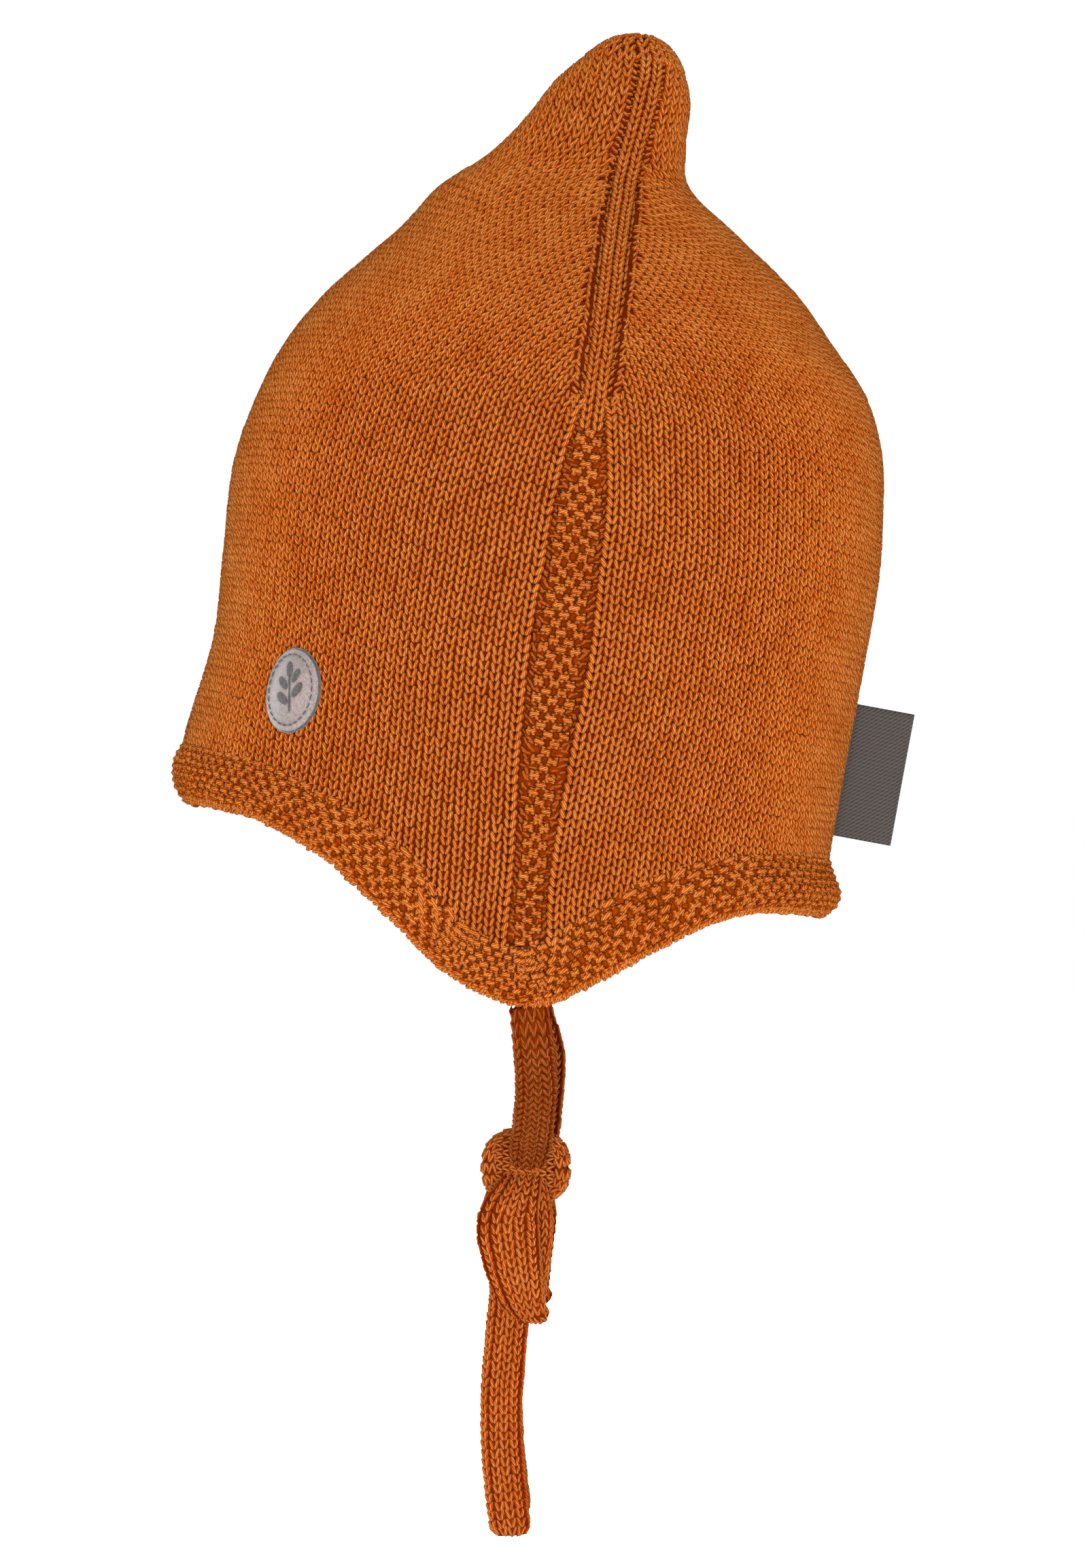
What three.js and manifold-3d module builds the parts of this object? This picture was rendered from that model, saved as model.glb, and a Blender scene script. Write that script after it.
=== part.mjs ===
// A baby's knitted cap with a pointed peak, ear flaps and chin straps that are tied in a bow.
// Units are millimetres and +Z is up. The wearer faces -Y, and the wearer's left is +X.
// The origin is where the top of the head sits, inside the dome and below the hollow peak.
// The hat is built level in a frame of its own, which then leans back as the hat is worn.
import * as THREE from "three";
import { mergeVertices } from "three/addons/utils/BufferGeometryUtils.js";
import Module from "manifold-3d";

const wasm = await Module();
wasm.setup();

// Driving dimensions.
const SEAT_HEIGHT = 137.8; // the head's top above the rim
const AXIS_BEHIND = 7.3; // the hat's own axis behind the head's top
const WEAR_TILT = THREE.MathUtils.degToRad(10.5); // the crown leans back, so the nape is low
const KNIT_WALL = 2.0; // plain knit of the crown
const BAND_WALL = 1.8; // pearl stitch of the side bands
const HEM_WALL = 2.6; // pearl stitch of the hem border
const HEM_WIDTH = 12.2;
const JOIN_GAP = 0.3; // between pieces that are sewn or knitted to each other

// Level sections of the hat, from the ear flaps up to the tip. Height is above the rim. Front and back
// reach from the hat's axis, side is the half width, and ear is how far behind the axis it is widest.
const SECTIONS = [
  { height: -32.0, front: 75.0, back: 76.0, side: 56.5, ear: 14.0 },
  { height: -15.0, front: 74.8, back: 75.8, side: 62.0, ear: 11.0 },
  { height: 0.0, front: 74.7, back: 75.8, side: 65.0, ear: 9.4 },
  { height: 18.0, front: 73.5, back: 75.2, side: 66.8, ear: 8.0 },
  { height: 38.0, front: 71.4, back: 75.1, side: 67.8, ear: 7.0 },
  { height: 58.0, front: 72.8, back: 75.1, side: 67.8, ear: 6.2 },
  { height: 77.0, front: 74.1, back: 74.9, side: 67.2, ear: 5.4 },
  { height: 92.0, front: 72.0, back: 73.2, side: 65.0, ear: 4.6 },
  { height: 106.0, front: 67.8, back: 70.4, side: 60.5, ear: 4.0 },
  { height: 118.0, front: 61.4, back: 64.6, side: 54.0, ear: 3.6 },
  { height: 128.0, front: 53.8, back: 55.2, side: 46.5, ear: 3.0 },
  { height: 138.0, front: 46.0, back: 45.0, side: 37.5, ear: 2.4 },
  { height: 148.0, front: 39.8, back: 30.5, side: 27.5, ear: 2.0 },
  { height: 157.5, front: 29.9, back: 16.6, side: 19.5, ear: 1.9 },
  { height: 167.5, front: 23.0, back: 13.6, side: 15.5, ear: 2.6 },
  { height: 177.5, front: 17.6, back: 12.8, side: 12.5, ear: 3.1 },
  { height: 184.5, front: 11.6, back: 9.8, side: 9.2, ear: 2.6 },
  { height: 189.0, front: 6.4, back: 5.6, side: 5.4, ear: 1.4 },
  { height: 191.0, front: 0.2, back: 0.2, side: 0.2, ear: 0.8 },
];

// The lower edge of the hat: degrees round from the front centre, and height above the rim.
const HEM_LINE = [
  { around: 0, height: 0.3 },
  { around: 38, height: 0.2 },
  { around: 48, height: -1.8 },
  { around: 57, height: -5.6 },
  { around: 63, height: -10.0 },
  { around: 70, height: -16.4 },
  { around: 76, height: -22.8 },
  { around: 81, height: -26.6 },
  { around: 88, height: -29.0 },
  { around: 94, height: -27.6 },
  { around: 100, height: -23.7 },
  { around: 108, height: -17.6 },
  { around: 116, height: -11.3 },
  { around: 126, height: -4.4 },
  { around: 137, height: -0.2 },
  { around: 158, height: 1.2 },
  { around: 180, height: 0.8 },
];

// The side bands run up the ear lines: half width at each height above the rim.
const BAND = [
  { height: 12, half: 4.4 },
  { height: 40, half: 6.0 },
  { height: 70, half: 6.2 },
  { height: 88, half: 4.6 },
  { height: 98, half: 3.1 },
  { height: 138, half: 3.0 },
  { height: 160, half: 2.7 },
];
const BAND_TOP = 160;
const BAND_SUNK = 1.1; // the band's face below the crown's
const GUTTER_SUNK = 0.7; // and its two edges lower still

// Above the bands their two edges go on up the peak as folds.
const FOLD = { depth: 1.0, starts: 150, full: 161, fades: 180, ends: 188 };

// The hem border swells: distance up from the lower edge, and how far it stands out at the brow, where
// the edge curls in, and at the nape, where it flares.
const HEM_SWELL = [
  { up: 0, brow: -3.0, nape: 1.2 },
  { up: 2.4, brow: -0.6, nape: 3.4 },
  { up: 5.6, brow: 0.8, nape: 3.8 },
  { up: 9.0, brow: 1.1, nape: 2.0 },
  { up: 12.2, brow: 0.3, nape: 0.5 },
];

// Columns of the crown's grid between and across the side bands. The border has the same columns.
const ZONES = [
  { name: "front", count: 24 },
  { name: "left", count: 2 },
  { name: "back", count: 24 },
  { name: "right", count: 2 },
];
const COLUMNS = ZONES.flatMap(({ name, count }) =>
  Array.from({ length: count }, (_, k) => ({ name, share: k / count })),
);
const EDGE_LEVEL = 12; // the columns run straight down below this height

// Value of one column of a table, on a smooth curve through its rows.
function smooth(table, key, name, at) {
  const last = table.length - 1;
  if (at <= table[0][key]) return table[0][name];
  if (at >= table[last][key]) return table[last][name];
  let i = 0;
  while (table[i + 1][key] < at) i += 1;
  const slope = (k) => {
    const a = table[Math.max(k - 1, 0)];
    const b = table[Math.min(k + 1, last)];
    return (b[name] - a[name]) / (b[key] - a[key]);
  };
  const span = table[i + 1][key] - table[i][key];
  const t = (at - table[i][key]) / span;
  const h = t * t * (3 - 2 * t);
  const rise = t * (1 - t) * (1 - t) * slope(i) - t * t * (1 - t) * slope(i + 1);
  return table[i][name] * (1 - h) + table[i + 1][name] * h + rise * span;
}

const column = (name, height) => smooth(SECTIONS, "height", name, height);

// A point of the hat in its own level frame. Angle 0 is the front centre and 90 degrees the left ear line.
function hatPoint(angle, height, out = 0) {
  const ear = column("ear", height);
  const cos = Math.cos(angle);
  const reach = cos > 0 ? column("front", height) + ear : column("back", height) - ear;
  const point = new THREE.Vector3(
    column("side", height) * Math.sin(angle),
    AXIS_BEHIND + ear - reach * cos,
    height - SEAT_HEIGHT,
  );
  if (out !== 0) point.addScaledVector(hatNormal(angle, height), out);
  return point;
}

// Outward normal, from two short steps along the surface.
function hatNormal(angle, height) {
  const step = 0.01;
  const round = hatPoint(angle + step, height).sub(hatPoint(angle - step, height));
  const low = hatPoint(angle, Math.max(height - 0.5, SECTIONS[0].height));
  const rise = hatPoint(angle, Math.min(height + 0.5, TIP_HEIGHT)).sub(low);
  return round.cross(rise).normalize();
}

const TIP_HEIGHT = SECTIONS[SECTIONS.length - 1].height;
const HALF_TURN = Math.PI;
const QUARTER = Math.PI / 2;

// Degrees round from the front, 0 to 180 on both sides, for an angle in radians.
function degreesRound(angle) {
  const turned = THREE.MathUtils.euclideanModulo(THREE.MathUtils.radToDeg(angle), 360);
  return turned > 180 ? 360 - turned : turned;
}

const hemHeight = (angle) => smooth(HEM_LINE, "around", "height", degreesRound(angle));

// Height of a line that runs a given distance above the lower edge, measured square to that edge.
function aboveHem(angle, up) {
  const step = 0.02;
  const low = hemHeight(angle);
  const run = hatPoint(angle + step, low).distanceTo(hatPoint(angle - step, low));
  const rise = hemHeight(angle + step) - hemHeight(angle - step);
  const slope = rise / Math.sqrt(Math.max(run * run - rise * rise, 1e-6));
  return low + up * Math.min(Math.hypot(1, slope), 1.45);
}

// Angle between the ear line and the edge of the band, towards the front or the back.
function bandAngle(height, side, margin) {
  const ear = column("ear", height);
  const reach = side === "front" ? column("front", height) + ear : column("back", height) - ear;
  return (smooth(BAND, "height", "half", height) + margin) / Math.max(reach, 6);
}

// Angle of a column at one height. The columns keep clear of the bands' edges.
function columnAngle({ name, share }, height) {
  const toFront = bandAngle(Math.max(height, EDGE_LEVEL), "front", JOIN_GAP);
  const toBack = bandAngle(Math.max(height, EDGE_LEVEL), "back", JOIN_GAP);
  const spans = {
    front: [toFront - QUARTER, QUARTER - toFront],
    left: [QUARTER - toFront, QUARTER + toBack],
    back: [QUARTER + toBack, 3 * QUARTER - toBack],
    right: [3 * QUARTER - toBack, 3 * QUARTER + toFront],
  };
  return THREE.MathUtils.lerp(...spans[name], share);
}

// A closed wall from a grid of outer and inner points. present(i, j) says which cells exist, and the
// grid closes on itself across when wrap is true. Every open edge of the cells gets a narrow face.
function wall(across, up, wrap, outer, inner, present = () => true) {
  const positions = [];
  const index = [];
  const numbers = new Map();
  const corner = (i, j, layer) => {
    const column = wrap ? i % across : i;
    const key = `${column} ${j} ${layer}`;
    if (!numbers.has(key)) {
      numbers.set(key, positions.length / 3);
      positions.push(...(layer ? inner : outer)(column, j).toArray());
    }
    return numbers.get(key);
  };
  const quad = (a, b, c, d) => index.push(a, b, c, a, c, d);
  const has = (i, j) => {
    if (j < 0 || j >= up) return false;
    if (wrap) return present((i + across) % across, j);
    return i >= 0 && i < across && present(i, j);
  };
  for (let i = 0; i < across; i += 1) {
    for (let j = 0; j < up; j += 1) {
      if (!has(i, j)) continue;
      const [a, b, c, d] = [[i, j], [i + 1, j], [i + 1, j + 1], [i, j + 1]];
      quad(corner(...a, 0), corner(...b, 0), corner(...c, 0), corner(...d, 0));
      quad(corner(...d, 1), corner(...c, 1), corner(...b, 1), corner(...a, 1));
      const edges = [[a, b, i, j - 1], [b, c, i + 1, j], [c, d, i, j + 1], [d, a, i - 1, j]];
      for (const [from, to, ni, nj] of edges) {
        if (has(ni, nj)) continue;
        quad(corner(...from, 1), corner(...to, 1), corner(...to, 0), corner(...from, 0));
      }
    }
  }
  const geometry = new THREE.BufferGeometry();
  geometry.setAttribute("position", new THREE.Float32BufferAttribute(positions, 3));
  geometry.setIndex(index);
  geometry.computeVertexNormals();
  return geometry;
}

// Heights of the crown's rows. The lowest rows spread between the border and the first level one.
const LEVEL_ROWS = [
  30, 42, 54, 66, 77, 87, 96, 104, 112, 119, 126, 133, 140, 147, 153, 160, 167, 173, 178.5, 183, 186.5, 189,
];
const LOW_ROWS = 3;
const TIP_THICKENS = 165; // from here up the wall is also measured downwards, to close the tip

function foldDepth(height) {
  const rise = THREE.MathUtils.smoothstep(height, FOLD.starts, FOLD.full);
  return FOLD.depth * rise * (1 - THREE.MathUtils.smoothstep(height, FOLD.fades, FOLD.ends));
}

// The crown: plain knit, with a slot for each side band, closed at the tip of the peak.
function crownGeometry() {
  const rows = LOW_ROWS + LEVEL_ROWS.length - 1;
  const heightOf = (c, j) => {
    if (j >= LOW_ROWS) return LEVEL_ROWS[j - LOW_ROWS];
    const bottom = aboveHem(columnAngle(c, EDGE_LEVEL), HEM_WIDTH) + JOIN_GAP;
    return THREE.MathUtils.lerp(bottom, LEVEL_ROWS[0], j / LOW_ROWS);
  };
  const at = (i, j, inset) => {
    const c = COLUMNS[i];
    const height = heightOf(c, j);
    const angle = columnAngle(c, height);
    const fold = c.share === 0 ? foldDepth(height) : 0;
    if (!inset) return hatPoint(angle, height, -fold);
    const top = LEVEL_ROWS[LEVEL_ROWS.length - 1];
    const sink = KNIT_WALL * THREE.MathUtils.smoothstep(height, TIP_THICKENS, top);
    return hatPoint(angle, height - sink, -KNIT_WALL - fold);
  };
  const inSlot = (i, j) => {
    const zone = COLUMNS[i].name;
    const banded = zone === "left" || zone === "right";
    return banded && heightOf(COLUMNS[i], j) < BAND_TOP;
  };
  const [outer, inner] = [(i, j) => at(i, j, false), (i, j) => at(i, j, true)];
  const shell = wall(COLUMNS.length, rows, true, outer, inner, (i, j) => !inSlot(i, j));
  return closeTip(shell, COLUMNS.length, rows, at);
}

// Replaces the ring-shaped face at the crown's top by two fans, so that the tip is closed.
function closeTip(shell, across, rows, at) {
  const positions = [...shell.getAttribute("position").array];
  const index = [...shell.getIndex().array];
  const ring = (inset) => Array.from({ length: across }, (_, i) => at(i, rows, inset));
  const number = (p) => {
    for (let k = 0; k < positions.length; k += 3) {
      if (Math.hypot(positions[k] - p.x, positions[k + 1] - p.y, positions[k + 2] - p.z) < 1e-3) return k / 3;
    }
    throw new Error("the tip's ring isn't in the shell");
  };
  const outer = ring(false).map(number);
  const inner = ring(true).map(number);
  const rim = new Set([...outer, ...inner]);
  const kept = [];
  for (let k = 0; k < index.length; k += 3) {
    const face = index.slice(k, k + 3);
    if (!face.every((n) => rim.has(n))) kept.push(...face);
  }
  const middle = AXIS_BEHIND + column("ear", TIP_HEIGHT);
  const tip = positions.length / 3;
  positions.push(0, middle, TIP_HEIGHT - SEAT_HEIGHT);
  positions.push(0, middle, TIP_HEIGHT - SEAT_HEIGHT - 1.4 * KNIT_WALL);
  for (let i = 0; i < across; i += 1) {
    const next = (i + 1) % across;
    kept.push(outer[i], outer[next], tip);
    kept.push(inner[next], inner[i], tip + 1);
  }
  const geometry = new THREE.BufferGeometry();
  geometry.setAttribute("position", new THREE.Float32BufferAttribute(positions, 3));
  geometry.setIndex(kept);
  geometry.computeVertexNormals();
  return geometry;
}

// A side band fills its slot from the border to the foot of the peak, sunk below the crown's face.
function bandGeometry(side) {
  const across = 4;
  const rows = 22;
  const centre = side * QUARTER;
  const border = (angle) => aboveHem(angle, HEM_WIDTH) + 1.3 * JOIN_GAP;
  const atFront = border(QUARTER - bandAngle(EDGE_LEVEL, "front", JOIN_GAP));
  const atBack = border(QUARTER + bandAngle(EDGE_LEVEL, "back", JOIN_GAP));
  const footAt = (along) => {
    const edge = along < 0.5 ? atFront : atBack;
    return THREE.MathUtils.lerp(border(QUARTER), edge, Math.abs(2 * along - 1));
  };
  const top = BAND_TOP - JOIN_GAP;
  const at = (i, j, inset) => {
    const foot = footAt(side > 0 ? i / across : 1 - i / across);
    const height = THREE.MathUtils.lerp(foot, top, j / rows);
    const toFront = bandAngle(Math.max(height, EDGE_LEVEL), "front", 0);
    const toBack = bandAngle(Math.max(height, EDGE_LEVEL), "back", 0);
    const share = i / across;
    const angle = THREE.MathUtils.lerp(-toFront, toBack, side > 0 ? share : 1 - share) * side + centre;
    const gutter = GUTTER_SUNK * Math.abs(2 * share - 1) ** 3;
    return hatPoint(angle, height, -BAND_SUNK - gutter - (inset ? BAND_WALL : 0));
  };
  return wall(across, rows, false, (i, j) => at(i, j, false), (i, j) => at(i, j, true));
}

// The hem border: one ring with a flap at each ear, swollen and curled in at its lower edge.
function hemGeometry() {
  const at = (i, j, inset) => {
    const angle = columnAngle(COLUMNS[i], EDGE_LEVEL);
    const { up, brow, nape } = HEM_SWELL[j];
    const out = THREE.MathUtils.lerp(brow, nape, (1 - Math.cos(angle)) / 2);
    const height = aboveHem(angle, up);
    const atEdge = j === 0;
    const lift = inset && atEdge ? 1.0 : 0;
    const depth = atEdge ? 0.8 * HEM_WALL : HEM_WALL;
    return hatPoint(angle, height + lift, out - (inset ? depth : 0));
  };
  const rows = HEM_SWELL.length - 1;
  return wall(COLUMNS.length, rows, true, (i, j) => at(i, j, false), (i, j) => at(i, j, true));
}

// The oval badge on the left of the forehead follows the crown's curve.
const BADGE = { around: THREE.MathUtils.degToRad(46), height: 28.5, halfWidth: 8.0, halfHeight: 9.4, thick: 1.2 };
const BADGE_RINGS = [1, 0.93, 0.55, 0.001];

function badgeGeometry() {
  const spokes = 28;
  const reach = column("front", BADGE.height) + column("ear", BADGE.height);
  const side = column("side", BADGE.height);
  const run = Math.hypot(reach * Math.sin(BADGE.around), side * Math.cos(BADGE.around));
  const at = (i, j, inset) => {
    const turn = (i / spokes) * 2 * HALF_TURN;
    const share = BADGE_RINGS[j];
    const angle = BADGE.around + (BADGE.halfWidth * share * Math.cos(turn)) / run;
    const rounded = j === 0 ? 0.75 : 1;
    const out = JOIN_GAP + (inset ? 0 : BADGE.thick * rounded);
    return hatPoint(angle, BADGE.height + BADGE.halfHeight * share * Math.sin(turn), out);
  };
  const rows = BADGE_RINGS.length - 1;
  return wall(spokes, rows, true, (i, j) => at(i, j, false), (i, j) => at(i, j, true));
}

// The folded tab in the back seam: a loop of woven ribbon pressed flat.
const TAB = { low: 19.1, high: 49.6, reach: 13.0, thick: 1.1 };
function tabGeometry() {
  const half = TAB.thick / 2;
  const root = AXIS_BEHIND + column("back", (TAB.low + TAB.high) / 2) + JOIN_GAP;
  const outline = new THREE.Shape();
  outline.moveTo(root, -half);
  outline.lineTo(root + TAB.reach - half, -half);
  outline.absarc(root + TAB.reach - half, 0, half, -QUARTER, QUARTER, false);
  outline.lineTo(root, half);
  outline.closePath();
  const geometry = new THREE.ExtrudeGeometry(outline, {
    depth: TAB.high - TAB.low,
    bevelEnabled: false,
    curveSegments: 4,
  });
  // The outline's own x runs to the back of the hat, which is +Y.
  geometry.rotateZ(QUARTER);
  geometry.translate(0, 0, TAB.low - SEAT_HEIGHT);
  return geometry;
}

// Knitted straps. Width is across the strap and thick through it, both of the strap laid flat.
const STRAP = { width: 9.4, thick: 3.2, sides: 10 };
const KNOT = new THREE.Vector3(0, -10.3, -207.6);
const KNOT_RING = { alongY: 7.6, alongZ: 6.3, halfWidth: 4.4, halfThick: 2.5 };
const CORE = { alongY: 4.8, alongZ: 3.5, reach: 7.4 };
const FAR_BEHIND = { chin: 2.2, loop: 0.8 }; // the right strap's runs hang this much behind the left one's
const FAR_SHARE = 0.97; // and its end is this much shorter

// A strap along a smooth curve through rows of x, y, z. Turn is the angle of its width from the Y axis
// towards +X, in degrees, and wide and thick scale its section.
function strapSolid(rows) {
  const steps = 3 * (rows.length - 1);
  const points = rows.map(({ x, y, z }) => new THREE.Vector3(x, y, z));
  const curve = new THREE.CatmullRomCurve3(points, false, "centripetal");
  const table = rows.map((row, k) => ({ turn: 0, wide: 1, thick: 1, ...row, k }));
  const rings = Array.from({ length: steps + 1 }, (_, s) => {
    const share = s / steps;
    const value = (name) => smooth(table, "k", name, share * (rows.length - 1));
    const centre = curve.getPoint(share);
    const along = curve.getTangent(share);
    const turn = THREE.MathUtils.degToRad(value("turn"));
    const across = new THREE.Vector3(Math.sin(turn), Math.cos(turn), 0);
    across.addScaledVector(along, -across.dot(along)).normalize();
    const through = new THREE.Vector3().crossVectors(along, across);
    return Array.from({ length: STRAP.sides }, (_, i) => {
      const a = (i / STRAP.sides) * 2 * HALF_TURN;
      const flat = (v) => Math.sign(v) * Math.abs(v) ** 0.7;
      return centre
        .clone()
        .addScaledVector(across, 0.5 * STRAP.width * value("wide") * flat(Math.cos(a)))
        .addScaledVector(through, 0.5 * STRAP.thick * value("thick") * flat(Math.sin(a)));
    });
  });
  return tubeSolid(rings);
}

// A closed tube through rings of points, as a manifold-3d solid.
function tubeSolid(rings, closed = false) {
  const sides = rings[0].length;
  const positions = rings.flat().flatMap((p) => p.toArray());
  const index = [];
  const spans = closed ? rings.length : rings.length - 1;
  for (let s = 0; s < spans; s += 1) {
    const next = (s + 1) % rings.length;
    for (let i = 0; i < sides; i += 1) {
      const [a, b] = [s * sides + i, s * sides + ((i + 1) % sides)];
      const [c, d] = [next * sides + ((i + 1) % sides), next * sides + i];
      index.push(a, b, c, a, c, d);
    }
  }
  if (!closed) {
    const last = (rings.length - 1) * sides;
    for (let i = 1; i < sides - 1; i += 1) {
      index.push(0, i + 1, i);
      index.push(last, last + i, last + i + 1);
    }
  }
  const solid = solidOf(positions, index);
  return solid.volume() > 0 ? solid : solidOf(positions, index.reverse());
}

function solidOf(positions, index) {
  const geometry = new THREE.BufferGeometry();
  geometry.setAttribute("position", new THREE.Float32BufferAttribute(positions, 3));
  geometry.setIndex(index);
  const merged = mergeVertices(geometry, 1e-4);
  return new wasm.Manifold(
    new wasm.Mesh({
      numProp: 3,
      vertProperties: merged.getAttribute("position").array,
      triVerts: new Uint32Array(merged.getIndex().array),
    }),
  );
}

// The body of a solid, without the small hollows that are sealed where runs of strap meet.
function withoutHollows(solid) {
  const bodies = solid.decompose().filter((body) => body.volume() > 0);
  return bodies.reduce((a, b) => (b.volume() > a.volume() ? b : a));
}

function geometryOf(joined) {
  const solid = withoutHollows(joined);
  const mesh = solid.getMesh();
  const positions = new Float32Array(mesh.numVert * 3);
  for (let i = 0; i < mesh.numVert; i += 1) {
    positions.set(mesh.vertProperties.subarray(i * mesh.numProp, i * mesh.numProp + 3), i * 3);
  }
  const geometry = new THREE.BufferGeometry();
  geometry.setAttribute("position", new THREE.Float32BufferAttribute(positions, 3));
  geometry.setIndex(new THREE.BufferAttribute(mesh.triVerts, 1));
  geometry.computeVertexNormals();
  return geometry;
}

// Where a chin strap leaves the lowest point of its ear flap, in the frame of the whole part.
function flapFoot() {
  const foot = hatPoint(QUARTER, hemHeight(QUARTER) - 1.6 * JOIN_GAP, -0.7 * HEM_WALL);
  return foot.applyAxisAngle(new THREE.Vector3(1, 0, 0), -WEAR_TILT);
}

// The runs of one tie as rows of points, for the left side: from the flap to the knot, the loop of the
// bow, and the end that hangs. Rows are measured from the knot, except for the first ones at the flap.
function tieRuns() {
  const foot = flapFoot().sub(KNOT);
  const chin = [
    { x: foot.x, y: foot.y + 0.5, z: foot.z, wide: 0.88, thick: 0.75 },
    { x: foot.x - 1.8, y: foot.y + 1.2, z: foot.z - 6.5, wide: 0.9 },
    { x: foot.x - 14, y: foot.y + 2.0, z: foot.z - 17.5, wide: 0.94 },
    { x: foot.x - 31, y: foot.y + 1.2, z: foot.z - 28.5, wide: 0.96 },
    { x: 13.0, y: 0.9, z: 5.6, wide: 0.95 },
    { x: 7.4, y: 0.4, z: 1.9, wide: 0.8 },
    { x: 5.0, y: 0, z: 0.6, wide: 0.7 },
  ];
  const loop = [
    { x: 5.2, y: 0, z: -0.6, wide: 0.8 },
    { x: 10.4, y: -1.6, z: -4.4, wide: 1.1 },
    { x: 14.2, y: -3.9, z: -11.0, turn: 4, wide: 1.5, thick: 0.9 },
    { x: 16.0, y: -2.8, z: -20.0, turn: 8, wide: 1.4, thick: 0.9 },
    { x: 16.0, y: -0.5, z: -28.2, turn: 22, wide: 1.12 },
    { x: 14.2, y: 1.5, z: -32.2, turn: 40, wide: 0.85 },
    { x: 11.6, y: 1.4, z: -30.6, turn: 44, wide: 0.8 },
    { x: 10.6, y: 1.4, z: -23.0, turn: 36, wide: 0.9 },
    { x: 10.0, y: 1.8, z: -13.0, turn: 22, wide: 0.95 },
    { x: 8.2, y: 1.2, z: -5.6, turn: 10, wide: 0.85 },
    { x: 5.2, y: 0.4, z: -0.8, wide: 0.75 },
  ];
  const end = [
    { x: 5.2, y: 0, z: -0.8, wide: 0.8 },
    { x: 7.0, y: -0.6, z: -5.6, wide: 0.9 },
    { x: 6.4, y: -1.6, z: -11.4 },
    { x: 5.2, y: -2.9, z: -20.0 },
    { x: 4.8, y: -3.9, z: -32.0 },
    { x: 4.6, y: -4.9, z: -43.0 },
    { x: 4.4, y: -5.6, z: -53.0 },
    { x: 4.6, y: -5.4, z: -64.0 },
    { x: 5.0, y: -4.4, z: -75.0 },
    { x: 5.2, y: -3.6, z: -81.2, wide: 0.95 },
    { x: 5.2, y: -3.5, z: -83.0, wide: 0.7, thick: 0.7 },
  ];
  return { chin, loop, end };
}

// What passes through the knot's ring, from just past the mid-plane out to where the runs part.
function coreSolid(side, swell) {
  const ring = (x) =>
    Array.from({ length: 14 }, (_, i) => {
      const a = (i / 14) * 2 * HALF_TURN;
      return new THREE.Vector3(x, (CORE.alongY + swell) * Math.cos(a), (CORE.alongZ + swell) * Math.sin(a));
    });
  return tubeSolid([ring((side * JOIN_GAP) / 2), ring(side * CORE.reach)]);
}

// The knot: one strap wrapped round the others, as a closed ring across the chin.
function knotRingSolid() {
  const around = 24;
  const sides = 10;
  const rings = Array.from({ length: around }, (_, s) => {
    const a = (s / around) * 2 * HALF_TURN;
    const square = (v) => Math.sign(v) * Math.abs(v) ** 0.8;
    const centre = new THREE.Vector3(
      0,
      KNOT_RING.alongY * square(Math.cos(a)),
      KNOT_RING.alongZ * square(Math.sin(a)),
    );
    const out = new THREE.Vector3(0, Math.cos(a) / KNOT_RING.alongY, Math.sin(a) / KNOT_RING.alongZ);
    out.normalize();
    return Array.from({ length: sides }, (_, i) => {
      const b = (i / sides) * 2 * HALF_TURN;
      const point = centre.clone().addScaledVector(out, KNOT_RING.halfThick * Math.sin(b));
      point.x += KNOT_RING.halfWidth * Math.cos(b);
      return point;
    });
  });
  return tubeSolid(rings, true);
}

// Everything on one side of the knot's mid-plane, with half of the small gap between the two ties.
function sideSpace(side) {
  const box = new THREE.BoxGeometry(200, 400, 400);
  box.translate(side * (100 + JOIN_GAP / 2), 0, 0);
  box.deleteAttribute("normal");
  box.deleteAttribute("uv");
  return solidOf(box.getAttribute("position").array, [...box.getIndex().array]);
}

// One tie: its runs and its half of the knot's core, joined and cut at the mid-plane.
function tieSolid(side) {
  const { chin, loop, end } = tieRuns();
  const far = side < 0;
  const behind = (rows, by) =>
    rows.map((row, k) => ({ ...row, y: row.y + (k > 1 && k < rows.length - 1 ? by : 0) }));
  const mirror = (rows) => rows.map((row) => ({ ...row, x: -row.x, turn: -(row.turn ?? 0) }));
  const shorter = end.map((row) => ({ ...row, z: row.z * FAR_SHARE }));
  const farRuns = [behind(chin, FAR_BEHIND.chin), behind(loop, FAR_BEHIND.loop), shorter];
  const runs = far ? farRuns.map(mirror) : [chin, loop, end];
  const core = coreSolid(side, far ? 1.1 : 0);
  return runs.reduce((solid, rows) => solid.add(strapSolid(rows)), core).intersect(sideSpace(side));
}

// Materials.
const knitWool = (color) => new THREE.MeshStandardMaterial({ color, roughness: 0.9, metalness: 0 });
const OCHRE = 0xc06d1f;
const RUST = 0xa4541c;
const FELT_GREY = 0xb5aeb2;
const TAPE_GREY = 0x5b544f;

function piece(name, geometry, material) {
  const mesh = new THREE.Mesh(geometry, material);
  mesh.name = name;
  return mesh;
}

// The hat leans back as worn. The ties hang straight down from it.
const hat = new THREE.Group();
hat.rotation.x = -WEAR_TILT;
hat.add(
  piece("crown", crownGeometry(), knitWool(OCHRE)),
  piece("side_band_left", bandGeometry(1), knitWool(OCHRE)),
  piece("side_band_right", bandGeometry(-1), knitWool(OCHRE)),
  piece("hem_border", hemGeometry(), knitWool(OCHRE)),
  piece("badge", badgeGeometry(), knitWool(FELT_GREY)),
  piece("back_tab", tabGeometry(), knitWool(TAPE_GREY)),
);

const ties = new THREE.Group();
ties.position.copy(KNOT);
ties.add(
  piece("tie_left", geometryOf(tieSolid(1)), knitWool(RUST)),
  piece("tie_right", geometryOf(tieSolid(-1).add(knotRingSolid())), knitWool(RUST)),
);

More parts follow.
